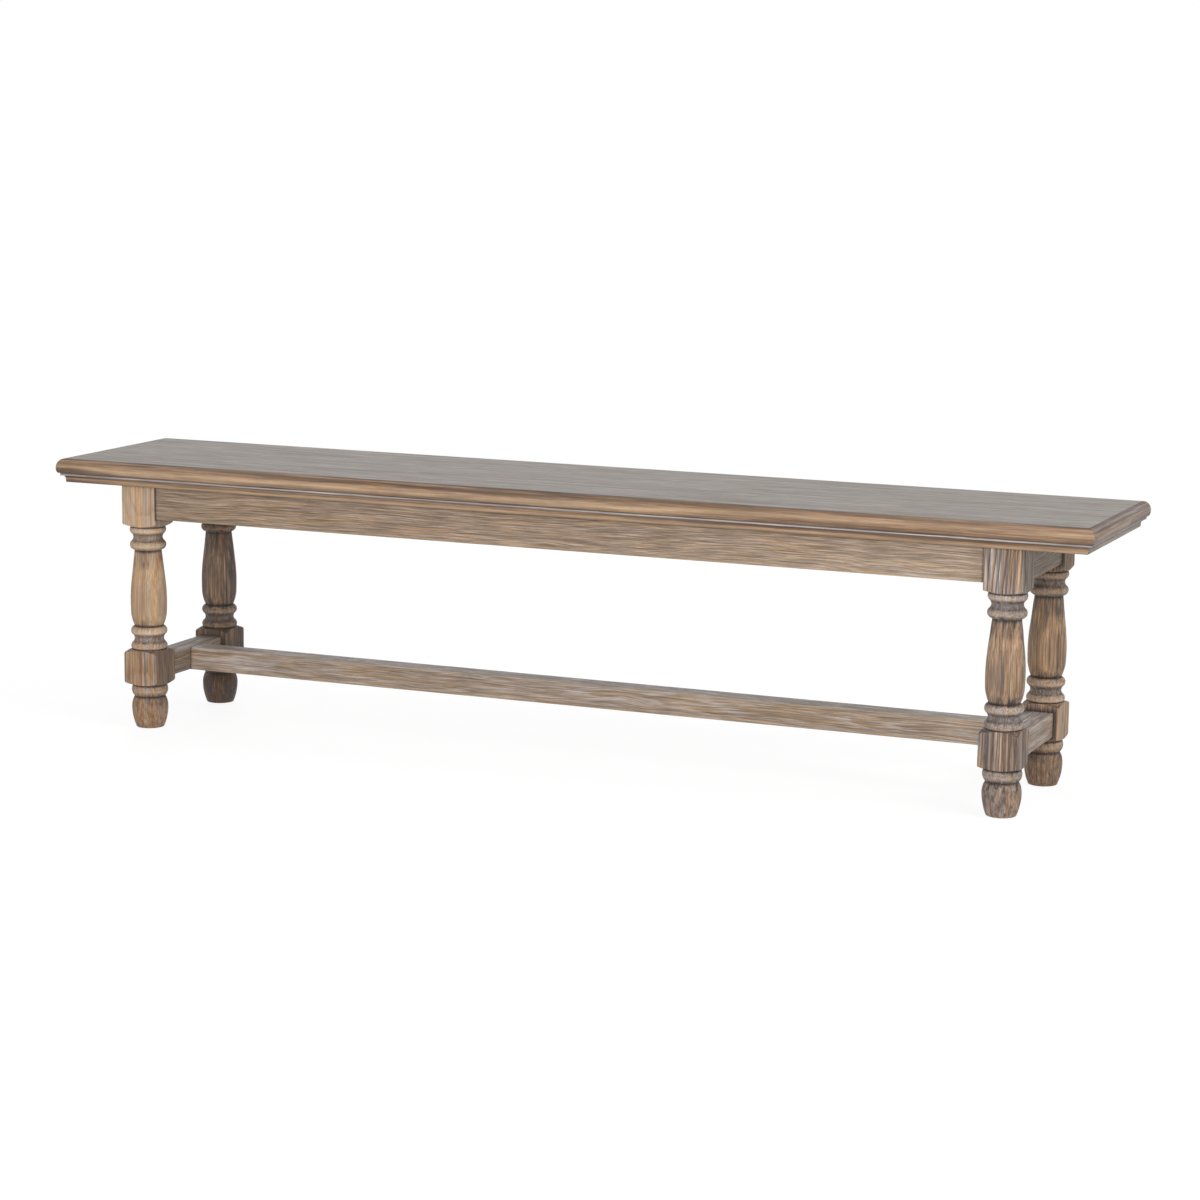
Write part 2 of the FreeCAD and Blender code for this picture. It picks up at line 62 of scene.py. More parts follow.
# Places that the frame gives
LEG_LOW, LEG_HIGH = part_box("leg_front_left")
LEG_SIDE = LEG_HIGH.x - LEG_LOW.x
LEG_BASE = LEG_LOW.z
LEG_TOP = LEG_HIGH.z
APRON_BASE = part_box("front_apron")[0].z
STRETCHER_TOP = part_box("long_stretcher")[1].z
FIELD_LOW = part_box("seat_board_front")[0]
FIELD_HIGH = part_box("seat_board_rear")[1]
NOSING_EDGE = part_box("edge_nosing_front")[0].y
BED_LOW, BED_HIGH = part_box("bed_moulding_front")

# Turned legs
TURNED_RADIUS = LEG_SIDE / 2 - 0.9 * MM
LEG_ARRIS = 1.6 * MM
CORNER_MARGIN = 0.3 * MM  # the outline runs this far past the corners of the blank
FACE_STEPS = 56
ARRIS_STEPS = 8
EDGE_SOFTNESS = 0.8 * MM  # rounding where a turned shoulder meets a flat face
FOOT_BASE_RADIUS = 22.3 * MM
FOOT_ROUND = 1.5 * MM
FOOT_BELLY_HEIGHT = 36.5 * MM
FOOT_HEIGHT = 54.6 * MM
FOOT_NECK_DEPTH = 5.0 * MM
RING_RISE = 10.9 * MM
RING_FALL = 9.0 * MM
CREASE_DEPTH = 2.2 * MM
SHOULDER_HEIGHT = 8.3 * MM
SHOULDER_ROUND_HEIGHT = 4.2 * MM
SHOULDER_ROUND_DEPTH = 2.8 * MM
STRETCHER_LIFT = 0.9 * MM
LOWER_BLOCK_MARGIN = 5.5 * MM
UPPER_BLOCK_MARGIN = 15.7 * MM
BEAD_PITCH = 25.8 * MM
BEAD_FROM_BLOCK = 5.5 * MM
BEAD_TO_NECK = 8.5 * MM
COVE_DEPTH = 6.0 * MM
LOWER_NECK_DEPTH = 6.6 * MM
UPPER_NECK_DEPTH = 8.0 * MM
VASE_FLAT = 0.3 * MM
VASE_SHARES = (0.205, 0.33, 0.59)
QUIRK_DEPTH = 0.5 * MM  # fine cut between a bead and the cove beside it
QUIRK_WIDTH = 0.6 * MM
GLIDE_RECESS_RADIUS = 13.15 * MM
GLIDE_RECESS_TOP = 4.0 * MM

# Seat edge and rails
APRON_ARRIS = 1.2 * MM
STRETCHER_ARRIS = 2.0 * MM
BOARD_ARRIS = 0.15 * MM
FIELD_ARRIS = 0.6 * MM  # edge of the seat field, beside the nosing
NOSING_ARRIS = 0.9 * MM
NOSING_RUN_ON = 5.5 * MM  # the nosing's ellipse would end this far below its flat underside
NOSING_LOWER_ARRIS = 1.4 * MM
BED_FILLET_HEIGHT = 3.9 * MM
BED_STEP = 4.6 * MM  # from the fillet in to the top of the cove
BED_COVE_HEIGHT = 8.0 * MM
BED_COVE_DEPTH = 2.5 * MM
BED_EASE = 0.4 * MM
RAIL_LET_IN = 1.5 * MM  # rails run this far into the legs
SEAM_WIDTH = 2.2 * MM  # dark border of glaze and painted shade round a joint
SHARP_EDGE = math.radians(50)


def srgb(red, green, blue):
    """Linear colour of an sRGB one that is given from 0 to 255."""
    channels = []
    for value in (red, green, blue):
        share = value / 255
        channels.append(share / 12.92 if share <= 0.04045 else ((share + 0.055) / 1.055) ** 2.4)
    return (*channels, 1.0)


def add_object(name, data):
    added = bpy.data.objects.new(name, data)
    bpy.context.scene.collection.objects.link(added)
    return added


# Noise for shapes and grain

def lattice_value(cell, seed):
    """A fixed pseudo-random number from -1 to 1 for each lattice cell."""
    mask = 0xFFFFFFFF
    mixed = (cell[..., 0] * 73856093) ^ (cell[..., 1] * 19349663) ^ (cell[..., 2] * 83492791)
    mixed = (mixed ^ (seed * 2654435761)) & mask
    mixed = ((mixed ^ (mixed >> 15)) * 2246822519) & mask
    mixed = ((mixed ^ (mixed >> 13)) * 3266489917) & mask
    mixed = mixed ^ (mixed >> 16)
    return mixed / (mask / 2) - 1


def smooth_noise(points, sizes, seed):
    """Smooth noise from -1 to 1, with features of the given sizes along each axis."""
    scaled = points / np.array(sizes)
    cell = np.floor(scaled).astype(np.int64)
    part = scaled - cell
    ease = part * part * (3 - 2 * part)
    total = np.zeros(points.shape[:-1])
    for corner in itertools.product((0, 1), repeat=3):
        weight = np.prod(np.where(np.array(corner), ease, 1 - ease), axis=-1)
        total += weight * lattice_value(cell + np.array(corner), seed)
    return total


def noise_along(places, size, seed):
    """Smooth noise along a single line."""
    return smooth_noise(np.stack((places, places * 0, places * 0), axis=-1), (size, 1, 1), seed)


def patchy(noise, base, swing, most=1):
    """A share that the noise swings to both sides of its base."""
    return np.clip(base + swing * noise, 0, most)


def smooth_step(values, low, high):
    share = np.clip((values - low) / (high - low), 0, 1)
    return share * share * (3 - 2 * share)


def bell(values, middle, width):
    return np.exp(-((values - middle) / width) ** 2)


def outside(values, low, high):
    """Distance of the values from a range."""
    return np.maximum(np.maximum(low - values, values - high), 0)


# Wood

# Share of hard late wood across one growth ring: it builds up through the ring and ends at once
LATE_WOOD = ((0.0, 0.3), (0.08, 0.0), (0.5, 0.08), (0.82, 0.85), (0.95, 1.0), (1.0, 0.3))
# Share of open pores across one ring: they lie in the soft wood that starts it
PORE_LINE = ((0.0, 0.0), (0.08, 1.0), (0.2, 1.0), (0.36, 0.0))
FIELDS = ("rings", "lines", "wash", "stain", "warm", "amber", "wear", "dirt", "smut")
LAYERING = (1, 1, 0.6)  # timber changes less through its layers than across them
OWN_PLACE = (0.731, 0.417, 0.593)  # moves each piece to a part of the wood's patterns that is its own
LEG_WAVE = (1.5 * MM, 4 * MM)  # how far the fibres and the growth rings wander to each side
RAIL_WAVE = (2.5 * MM, 10 * MM)
STRIP_WAVE = (0.6 * MM, 4 * MM)
RING_WARPS = (((0.16, 0.03, 0.03), 0.5), ((0.045, 0.012, 0.012), 0.4))  # sizes, and share of a ring
SEASON_RUN = 1.8  # good and bad seasons change after about so many rings
SEASON_SHARE = 0.6


def growth_rings(local, rings, drift, seed):
    """Growth rings counted out from a pith; local is along and twice across the fibres."""
    pith, slope, spacing = rings
    along = local[..., 0]
    wander = noise_along(along, 0.35, seed) * drift
    across = local[..., 1] - pith[0] - slope[0] * along - wander
    depth = local[..., 2] - pith[1] - slope[1] * along + wander
    warp = np.zeros(along.shape)
    for number, (sizes, share) in enumerate(RING_WARPS, 1):
        warp += smooth_noise(local, sizes, seed + number) * share * spacing
    counted = (np.hypot(across, depth) + warp) / spacing
    return counted + SEASON_SHARE * noise_along(counted, SEASON_RUN, seed + 3)


def late_wood(rings):
    return np.interp(rings - np.floor(rings), *zip(*LATE_WOOD))


class Piece:
    """A mesh on a grid of points, with the fields that its wood needs at every point."""

    def __init__(self, points):
        self.points = points
        self.fields = {name: np.zeros(points.shape[:2]) for name in FIELDS}
        self.grain = None

    def grow(self, axes, middle, rings, wave, seed):
        """Gives the piece its fibres: axes are along and twice across them, as numbers of X, Y and Z.

        The rings are the pith, slope and spacing of its growth rings.
        """
        local = self.points[..., list(axes)] - np.array(middle)[list(axes)]
        self.grain = local * LAYERING + np.array(OWN_PLACE) * seed
        self.grain[..., 1] += wave[0] * smooth_noise(local, (0.07, 0.025, 0.025), seed + 4)
        self.fields["rings"] = growth_rings(local, rings, wave[1], seed)
        return local

    def spread(self, **fields):
        """Sets fields from values for the columns, the rows or every point."""
        for name, values in fields.items():
            self.fields[name] = values * np.ones(self.points.shape[:2])

    def faces(self):
        rows, columns = self.points.shape[:2]
        index = np.arange(rows * columns).reshape(rows, columns)
        beside = np.roll(index, -1, axis=1)
        quads = np.stack((index[:-1], beside[:-1], beside[1:], index[1:]), axis=-1).reshape(-1, 4)
        caps = [index[0][::-1].tolist(), index[-1].tolist()]
        return quads, caps

    def build(self, name, material, node, slot):
        """Makes the object: it rides on the frame and stands for its node."""
        quads, caps = self.faces()
        flat = self.points.reshape(-1, 3)
        if enclosed_volume(flat, quads) < 0:
            quads = quads[:, ::-1]
            caps = [cap[::-1] for cap in caps]
        mesh = bpy.data.meshes.new(name)
        mesh.from_pydata(flat.tolist(), [], quads.tolist() + caps)
        for field, values in self.fields.items():
            layer = mesh.attributes.new(field, "FLOAT", "POINT")
            layer.data.foreach_set("value", values.astype(np.float32).ravel())
        layer = mesh.attributes.new("grain", "FLOAT_VECTOR", "POINT")
        layer.data.foreach_set("vector", self.grain.astype(np.float32).ravel())
        mesh.shade_smooth()
        mesh.set_sharp_from_angle(angle=SHARP_EDGE)
        mesh.materials.append(material)
        piece = add_object(name, mesh)
        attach(piece, "root")
        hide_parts(node)


def enclosed_volume(points, quads):
    """Six times the signed volume under the quads; its sign tells which way they face."""
    middle = points.mean(axis=0)
    a, b, c, d = (points[quads[:, k]] - middle for k in range(4))
    return np.einsum("ij,ij->", a, np.cross(b, c)) + np.einsum("ij,ij->", a, np.cross(c, d))


# Legs

class Turning:
    """Outline of a turned leg, drawn upwards as (height, radius) points, each part in its own steps."""

    def __init__(self, height, radius):
        self.points = [(height, radius)]

    def run(self, height, radius, steps):
        first = np.array(self.points[-1])
        last = np.array((height, radius))
        for share in np.linspace(0, 1, steps + 1)[1:]:
            self.points.append(tuple(first + (last - first) * share))

    def bow(self, height, radius, upright_first, steps):
        """Arc that is upright at its first or at its last point."""
        first = self.points[-1]
        last = (height, radius)
        peak, other = (first, last) if upright_first else (last, first)
        rise = other[0] - peak[0]
        swell = peak[1] - other[1]
        size = (rise ** 2 + swell ** 2) / (2 * abs(swell))
        angles = np.linspace(0, 2 * math.atan2(abs(swell), abs(rise)), steps + 1)
        heights = peak[0] + math.copysign(size, rise) * np.sin(angles)
        radii = peak[1] - math.copysign(size, swell) * (1 - np.cos(angles))
        arc = list(zip(heights, radii))
        if not upright_first:
            arc.reverse()
        self.points += arc[1:]

    def bead_pair(self, first, last):
        """From the peak of one bead, through a cove, to the peak of the next."""
        quarter = (last - first) / 4
        mean = TURNED_RADIUS - COVE_DEPTH / 2
        self.bow(first + quarter, mean, True, 7)
        self.bow((first + last) / 2, TURNED_RADIUS - COVE_DEPTH, False, 7)
        self.bow(last - quarter, mean, True, 7)
        self.bow(last, TURNED_RADIUS, False, 7)

    def shoulder_out(self, base):
        top = base + SHOULDER_HEIGHT
        self.run(top - SHOULDER_ROUND_HEIGHT, BLOCK_CORNER - SHOULDER_ROUND_DEPTH, 12)
        self.bow(top, BLOCK_CORNER, False, 8)

    def shoulder_in(self, base):
        self.bow(base + SHOULDER_ROUND_HEIGHT, BLOCK_CORNER - SHOULDER_ROUND_DEPTH, True, 8)
        self.run(base + SHOULDER_HEIGHT, TURNED_RADIUS - CREASE_DEPTH, 12)


BLOCK_CORNER = LEG_SIDE / math.sqrt(2) - LEG_ARRIS * (math.sqrt(2) - 1) + CORNER_MARGIN
RING_HEIGHT = FOOT_HEIGHT + RING_RISE
LOWER_BLOCK_START = RING_HEIGHT + RING_FALL
LOWER_STRAIGHT_END = STRETCHER_TOP - STRETCHER_LIFT + LOWER_BLOCK_MARGIN
LOWER_BLOCK_END = LOWER_STRAIGHT_END + SHOULDER_HEIGHT
UPPER_BLOCK_START = APRON_BASE - UPPER_BLOCK_MARGIN
BEAD_A = LOWER_BLOCK_END + BEAD_FROM_BLOCK
BEAD_B = BEAD_A + BEAD_PITCH
BEAD_D = UPPER_BLOCK_START - BEAD_FROM_BLOCK
BEAD_C = BEAD_D - BEAD_PITCH
LOWER_NECK = BEAD_B + BEAD_TO_NECK
UPPER_NECK = BEAD_C - BEAD_TO_NECK
PEAKS = (BEAD_A, BEAD_B, BEAD_C, BEAD_D, RING_HEIGHT)
COVES = ((BEAD_A + BEAD_B) / 2, (BEAD_C + BEAD_D) / 2)
QUIRKS = (BEAD_A + BEAD_PITCH / 4, BEAD_B - BEAD_PITCH / 4,
          BEAD_C + BEAD_PITCH / 4, BEAD_D - BEAD_PITCH / 4)


def leg_outline():
    """Heights and radii of the turning, with the blank's corners as its radius along the two blocks."""
    crease = TURNED_RADIUS - CREASE_DEPTH
    vase = UPPER_NECK - LOWER_NECK
    rounding, belly, taper = (LOWER_NECK + share * vase for share in VASE_SHARES)
    swell = taper - belly
    fall = UPPER_NECK_DEPTH * swell / (2 * (UPPER_NECK - taper) + swell)
    line = Turning(LEG_BASE, FOOT_BASE_RADIUS)
    line.bow(LEG_BASE + FOOT_ROUND, FOOT_BASE_RADIUS + FOOT_ROUND, False, 5)
    line.bow(FOOT_BELLY_HEIGHT, TURNED_RADIUS, False, 20)
    line.bow(FOOT_HEIGHT, TURNED_RADIUS - FOOT_NECK_DEPTH, True, 14)
    line.bow(RING_HEIGHT, TURNED_RADIUS, False, 9)
    line.bow(LOWER_BLOCK_START, crease, True, 8)
    line.shoulder_out(LOWER_BLOCK_START)
    line.run(LOWER_STRAIGHT_END, BLOCK_CORNER, 20)
    line.shoulder_in(LOWER_STRAIGHT_END)
    line.bow(BEAD_A, TURNED_RADIUS, False, 6)
    line.bead_pair(BEAD_A, BEAD_B)
    line.bow(LOWER_NECK, TURNED_RADIUS - LOWER_NECK_DEPTH, True, 9)
    line.bow(rounding, TURNED_RADIUS - VASE_FLAT, False, 16)
    line.bow(belly, TURNED_RADIUS, False, 7)
    line.bow(taper, TURNED_RADIUS - fall, True, 14)
    line.run(UPPER_NECK, TURNED_RADIUS - UPPER_NECK_DEPTH, 22)
    line.bow(BEAD_C, TURNED_RADIUS, False, 9)
    line.bead_pair(BEAD_C, BEAD_D)
    line.bow(UPPER_BLOCK_START, crease, True, 6)
    line.shoulder_out(UPPER_BLOCK_START)
    line.run(LEG_TOP, BLOCK_CORNER, 36)
    return np.array(line.points).T


def with_quirks(heights, radii):
    """Adds the fine cuts between beads and coves, with rows of their own."""
    offsets = np.array((-1.4, -0.7, 0, 0.7, 1.4)) * QUIRK_WIDTH
    extra = np.concatenate([quirk + offsets for quirk in QUIRKS])
    rows = np.unique(np.concatenate((heights, extra)))
    cut = sum(bell(rows, quirk, QUIRK_WIDTH) for quirk in QUIRKS)
    return rows, np.interp(rows, heights, radii) - QUIRK_DEPTH * cut


def blank_section():
    """Angles and radii of points round the square blank, closer together on its eased corners."""
    half = LEG_SIDE / 2
    flat = half - LEG_ARRIS
    along = np.linspace(-flat, flat, FACE_STEPS, endpoint=False)
    turn = np.linspace(0, math.pi / 2, ARRIS_STEPS, endpoint=False)
    quarter = np.concatenate((half + 1j * along, flat + 1j * flat + LEG_ARRIS * np.exp(1j * turn)))
    section = np.concatenate([quarter * 1j ** k for k in range(4)])
    return np.angle(section), np.abs(section)


def soft_minimum(first, second, softness):
    share = np.clip(0.5 + 0.5 * (second - first) / softness, 0, 1)
    return second * (1 - share) + first * share - softness * share * (1 - share)


def bend_of_outline(heights, radii, width):
    """How far the outline stands out past its own smoothed line: above 0 on crests, below 0 in creases."""
    step = 0.25 * MM
    fine = np.arange(heights[0], heights[-1], step)
    line = np.minimum(np.interp(fine, heights, radii), LEG_SIDE / 2)
    reach = int(3 * width / step)
    weights = bell(np.arange(-reach, reach + 1) * step, 0, width * math.sqrt(2))
    padded = np.pad(line, reach, mode="edge")
    smoothed = np.convolve(padded, weights / weights.sum(), mode="valid")
    return np.interp(heights, fine, line - smoothed)


def leg_surface(heights, radii, angles, blank, middle):
    distance = soft_minimum(blank[None, :], radii[:, None], EDGE_SOFTNESS)
    points = np.zeros((*distance.shape, 3))
    points[..., 0] = distance * np.cos(angles) + middle.x
    points[..., 1] = distance * np.sin(angles) + middle.y
    points[..., 2] = heights[:, None]
    return points


# Finish of the legs, with painted shade and painted highlights

# Each leg's timber: pith (from the leg's middle), slope and spacing of its rings, relief of the brushed
# grain, strength of its lines on the blocks and on the turning, pale wash on the blocks, beads and vase,
# dark glaze and painted shade, darkening on the upper block, the vase, the lower block, that block's right
# face and the foot (below 0 is wear; it is dirt with painted shade, and painted shade on that right face),
# dark smut, warmth, strength and places of its amber lines, and the width of the glaze and painted shade at
# joints
LEG_TIMBER = {
    "front_left": dict(
        rings=((0.004, 0.075), (0.025, -0.2), 6.8 * MM), relief=0.15 * MM, lines=(0.7, 0.35),
        wash=(0.75, 0.5, 0.3), glaze=0.95, dirt=(-0.3, -0.25, 0.28, 0.4, 0.5), smut=0.45, warm=1.0,
        amber=1.0, ambers=(-0.0165, -0.004, 0.0052, 0.022), seam=SEAM_WIDTH, seed=3),
    "front_right": dict(
        rings=((-0.13, 0.03), (0.025, -0.03), 6.2 * MM), relief=0.8 * MM, lines=(1.0, 0.4),
        wash=(1.05, 1.6, 0.4), glaze=1.0, dirt=(0.1, 0.27, 0.44, 0.05, 0.34), smut=1.0, warm=0.6,
        amber=0.4, ambers=(-0.02, -0.004, 0.009, 0.021), seam=SEAM_WIDTH, seed=11),
    # This leg's high darkening is partly painted shade.
    "rear_left": dict(
        rings=((0.12, -0.02), (0.02, -0.05), 5.5 * MM), relief=0.3 * MM, lines=(0.6, 0.6),
        wash=(0.3, 0.4, 0.45), glaze=0.9, dirt=(0.7, 0.55, 0.75, 0.1, 1.0), smut=0.9, warm=0.3,
        amber=0.2, ambers=(-0.012, 0.015), seam=SEAM_WIDTH, seed=31),
    "rear_right": dict(
        rings=((-0.12, -0.03), (0.03, -0.03), 5.2 * MM), relief=0.4 * MM, lines=(0.8, 0.6),
        wash=(0.3, 0.5, 0.15), glaze=1.0, dirt=(0.2, 0.15, 0.0, -0.1, 0.45), smut=0.6, warm=0.8,
        amber=0.35, ambers=(-0.022, -0.006, 0.012), seam=3 * SEAM_WIDTH, seed=23),
}
# Sizes of the blotches, the smoke and the flecks in the finish
LEG_PATCHES = ((0.05, 0.02, 0.02), (0.07, 0.011, 0.011), (0.012, 0.004, 0.004))
FLECKED = (0.75, 0.5)  # base and swing of what the flecks break up
# Smoky parts beside the necks: from, to, fade and strength
NECKS = ((UPPER_NECK - 22 * MM, UPPER_NECK, 14 * MM, 1.0),
         (LOWER_NECK, LOWER_NECK + 6 * MM, 9 * MM, 0.7),
         (FOOT_HEIGHT - 10 * MM, FOOT_HEIGHT, 8 * MM, 0.6))
BEAD_MARGIN = 4 * MM
BEAD_FADE = 3 * MM
CREST_DROP = 1.5 * MM  # wear and a painted highlight are strongest this far below the peak of a bead
END_GRAIN = 25  # how much shorter the figure is on the beads, which cut across the fibres
FOOT_END_GRAIN = 0.2
AMBER_WIDTH = 1.6 * MM
AMBER_WANDER = 0.8 * MM


def plateau(heights, low, high, fade):
    """1 between two heights, fading to 0 outside them, as a column of rows."""
    return (smooth_step(heights, low - fade, low) * (1 - smooth_step(heights, high, high + fade)))[:, None]


def bead_rows(heights):
    """1 on the two pairs of beads and the ring and 0 elsewhere, as a column of rows."""
    turnings = ((BEAD_A, BEAD_B), (BEAD_C, BEAD_D), (RING_HEIGHT, RING_HEIGHT))
    return sum(plateau(heights, low - BEAD_MARGIN, high + BEAD_MARGIN, BEAD_FADE) for low, high in turnings)


def leg_parts(heights, radii, blank):
    """Shares from 0 to 1 that tell where the parts of a leg are, for its rows or for every point."""
    rows = heights[:, None]
    bend = bend_of_outline(heights, radii, 3 * MM)[:, None]
    part = SimpleNamespace()
    part.blocks = smooth_step(blank - radii[:, None], 0.6 * MM, 0)
    part.turned = 1 - part.blocks
    part.shoulders = smooth_step(radii[:, None] - LEG_SIDE / 2, -0.5 * MM, 0.5 * MM) * part.turned
    part.arrises = smooth_step(blank, BLOCK_CORNER - 0.8 * MM, BLOCK_CORNER - 0.4 * MM) * part.blocks
    part.creases = np.clip(-bend / MM, 0, 1) * part.turned
    part.crests = sum(bell(rows, peak - CREST_DROP, 1.6 * MM) for peak in PEAKS) * part.turned
    part.cuts = sum(bell(rows, quirk, 2.6 * MM) for quirk in QUIRKS)
    part.coves = sum(bell(rows, cove, 4 * MM) for cove in COVES)
    part.beads = bead_rows(heights)
    part.necks = sum(share * plateau(heights, low, high, fade) for low, high, fade, share in NECKS)
    part.vase = plateau(heights, LOWER_NECK, UPPER_NECK, 5 * MM)
    return part


def shorten_figure(leg, heights, beads):
    """Runs faster through the wood's patterns on the beads and the foot, so they show no long stripes."""
    steps = np.diff(heights, prepend=heights[0])
    foot = plateau(heights, LEG_BASE, FOOT_HEIGHT, 3 * MM)
    cut_across = (beads + FOOT_END_GRAIN * foot)[:, 0]
    leg.grain[..., 0] += END_GRAIN * np.cumsum(steps * cut_across)[:, None]


def leg_dirt(leg, timber, heights):
    # Darker towards the bottom on most legs; the extra darkening on the lower block's right face is painted
    # shade.
    top, vase, block, beside, foot = timber["dirt"]
    levels = {0: foot, FOOT_HEIGHT: foot, LOWER_BLOCK_START: block, LOWER_BLOCK_END: block,
              BEAD_B: vase, UPPER_NECK: vase, UPPER_BLOCK_START: top, LEG_TOP: top}
    dirt = np.interp(heights, list(levels), list(levels.values()))[:, None]
    outward = leg.points[..., 0] - leg.points[..., 0].mean()
    right = smooth_step(outward, LEG_SIDE / 2 - 3 * MM, LEG_SIDE / 2)
    return dirt + beside * right * plateau(heights, LOWER_BLOCK_START, LOWER_BLOCK_END, 2 * MM)


def leg_glaze(part, blotch, smoke, fleck):
    """Dark glaze in creases and cuts, where it is partly painted shade, on shoulders and necks, and in
    blotches.
    """
    smoky = np.clip(0.4 + 0.55 * smoke + 0.45 * fleck, 0, 1)
    glaze = part.creases + 0.8 * part.shoulders * patchy(fleck, *FLECKED)
    glaze = glaze + 0.55 * part.cuts * patchy(fleck, 0.8, 0.5) + 0.6 * part.necks * smoky * part.turned
    return glaze + 0.25 * np.clip(blotch - 0.25, 0, 1) + 0.4 * part.vase * np.clip(smoke - 0.15, 0, 1)


def finish_leg(leg, timber, heights, part, seams):
    """Wash in the grain, glaze and painted shade in the creases and round the joints, darkening that is
    partly painted shade, worn crests with a painted highlight, and worn edges.
    """
    patches = enumerate(LEG_PATCHES, timber["seed"] + 5)
    blotch, smoke, fleck = [smooth_noise(leg.grain, sizes, seed) for seed, sizes in patches]
    shorten_figure(leg, heights, part.beads)
    dirt = leg_dirt(leg, timber, heights)
    smut = timber["smut"] * np.clip(0.4 + dirt + 0.6 * part.necks - 0.4 * part.beads, 0, 1.2)
    leg.spread(dirt=np.clip(dirt + 0.15 * blotch, 0, 1), smut=smut)
    on_blocks, on_turning = timber["lines"]
    lines = on_blocks * part.blocks + on_turning * part.turned
    leg.spread(lines=lines * (1 - 0.75 * part.beads))
    on_blocks, on_beads, on_vase = timber["wash"]
    wash = on_blocks + (on_vase - on_blocks) * part.vase
    leg.spread(wash=wash * patchy(blotch, 0.55, 0.5, 1.1) + on_beads * (part.coves + part.beads))
    glaze = leg_glaze(part, blotch, smoke, fleck) + seams
    # Worn crests carry a painted highlight; the arrises and the parts below 0 are worn.
    worn = part.crests * patchy(fleck, *FLECKED) + 0.8 * part.arrises + np.clip(-dirt, 0, 1)
    leg.spread(stain=np.clip(timber["glaze"] * glaze, 0, 1), wear=np.clip(worn, 0, 1))
    leg.spread(warm=timber["warm"] + 0.3 * smoke - 0.5 * part.coves)


def amber_lines(local, places, slope, seed):
    """Thin resin-coloured lines that run up a leg along its fibres."""
    wander = noise_along(local[..., 0], 0.09, seed) * AMBER_WANDER
    strength = np.zeros(local.shape[:2])
    for place in places:
        offset = local[..., 1] - place - slope * local[..., 0] - wander
        strength = np.maximum(strength, bell(offset, 0, AMBER_WIDTH))
    return strength * patchy(smooth_noise(local, (0.08, 0.01, 0.01), seed + 1), *FLECKED)


def joint_seams(points, corner, middle, width):
    """Dark glaze and painted shade on a leg's inner faces, round the places where rails meet it."""
    depth, side = corner.split("_")
    seams = np.zeros(points.shape[:2])
    for node, axis in ((depth + "_apron", 0), (side + "_apron", 1), (side + "_cross_stretcher", 1)):
        low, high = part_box(node)
        beside = outside(points[..., 1 - axis], low[1 - axis], high[1 - axis])
        above = outside(points[..., 2], low.z, high.z)
        inward = (middle[axis] - points[..., axis]) * math.copysign(1, middle[axis])
        on_face = smooth_step(inward, LEG_SIDE / 2 - 2.5 * MM, LEG_SIDE / 2 - 1.2 * MM)
        seams = np.maximum(seams, on_face * bell(np.hypot(beside, above), 0, width))
    return seams


def brush_leg(leg, depth, angles):
    """Sinks the soft wood between the hard lines."""
    relief = depth * leg.fields["lines"] * (1 - late_wood(leg.fields["rings"]))
    leg.points[..., 0] -= relief * np.cos(angles)
    leg.points[..., 1] -= relief * np.sin(angles)


def add_recess(leg, angles, middle):
    """Adds the rows under the foot that go in to the recess of the glide."""
    rim = 0.5 * (GLIDE_RECESS_RADIUS + FOOT_BASE_RADIUS)
    steps = ((1 * MM, GLIDE_RECESS_TOP), (GLIDE_RECESS_RADIUS, GLIDE_RECESS_TOP),
             (GLIDE_RECESS_RADIUS, LEG_BASE), (rim, LEG_BASE))
    rows = np.zeros((len(steps), len(angles), 3))
    for row, (radius, height) in zip(rows, steps):
        row[:, 0] = middle.x + radius * np.cos(angles)
        row[:, 1] = middle.y + radius * np.sin(angles)
        row[:, 2] = height
    leg.points = np.concatenate((rows, leg.points))
    leg.grain = np.concatenate((np.repeat(leg.grain[:1], len(steps), axis=0), leg.grain))
    for name, values in leg.fields.items():
        leg.fields[name] = np.concatenate((np.repeat(values[:1], len(steps), axis=0), values))


def turned_leg(corner, material):
    timber = LEG_TIMBER[corner]
    low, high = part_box("leg_" + corner)
    middle = (low + high) / 2
    heights, radii = with_quirks(*leg_outline())
    angles, blank = blank_section()
    part = leg_parts(heights, radii, blank[None, :])
    leg = Piece(leg_surface(heights, radii, angles, blank, middle))
    local = leg.grow((2, 0, 1), middle, timber["rings"], LEG_WAVE, timber["seed"])
    finish_leg(leg, timber, heights, part, joint_seams(leg.points, corner, middle, timber["seam"]))
    slope = timber["rings"][1]
    ambers = amber_lines(local, timber["ambers"], slope[0], timber["seed"] + 8)
    leg.spread(amber=timber["amber"] * ambers * (1 - 0.25 * part.beads))
    brush_leg(leg, timber["relief"], angles)
    add_recess(leg, angles, middle)
    leg.build("leg_" + corner + "_turned", material, "leg_" + corner, "leg_wood")


# Rails and boards

RAIL_GRID = 4 * MM
RAIL_END = 10 * MM
RAIL_END_ROWS = (0, 0.5, 1, 1.8, 2.8, 4, 6)  # millimetres from the end of a rail
RAIL_UNEVENNESS = 0.3
BOARD_UNEVENNESS = 0.2
RAIL_SMUT = 0.08
# Painted shade on the aprons: full on the end aprons and on the left of the front and rear ones, fading out
# towards their right ends.
APRON_DIRT = 0.25


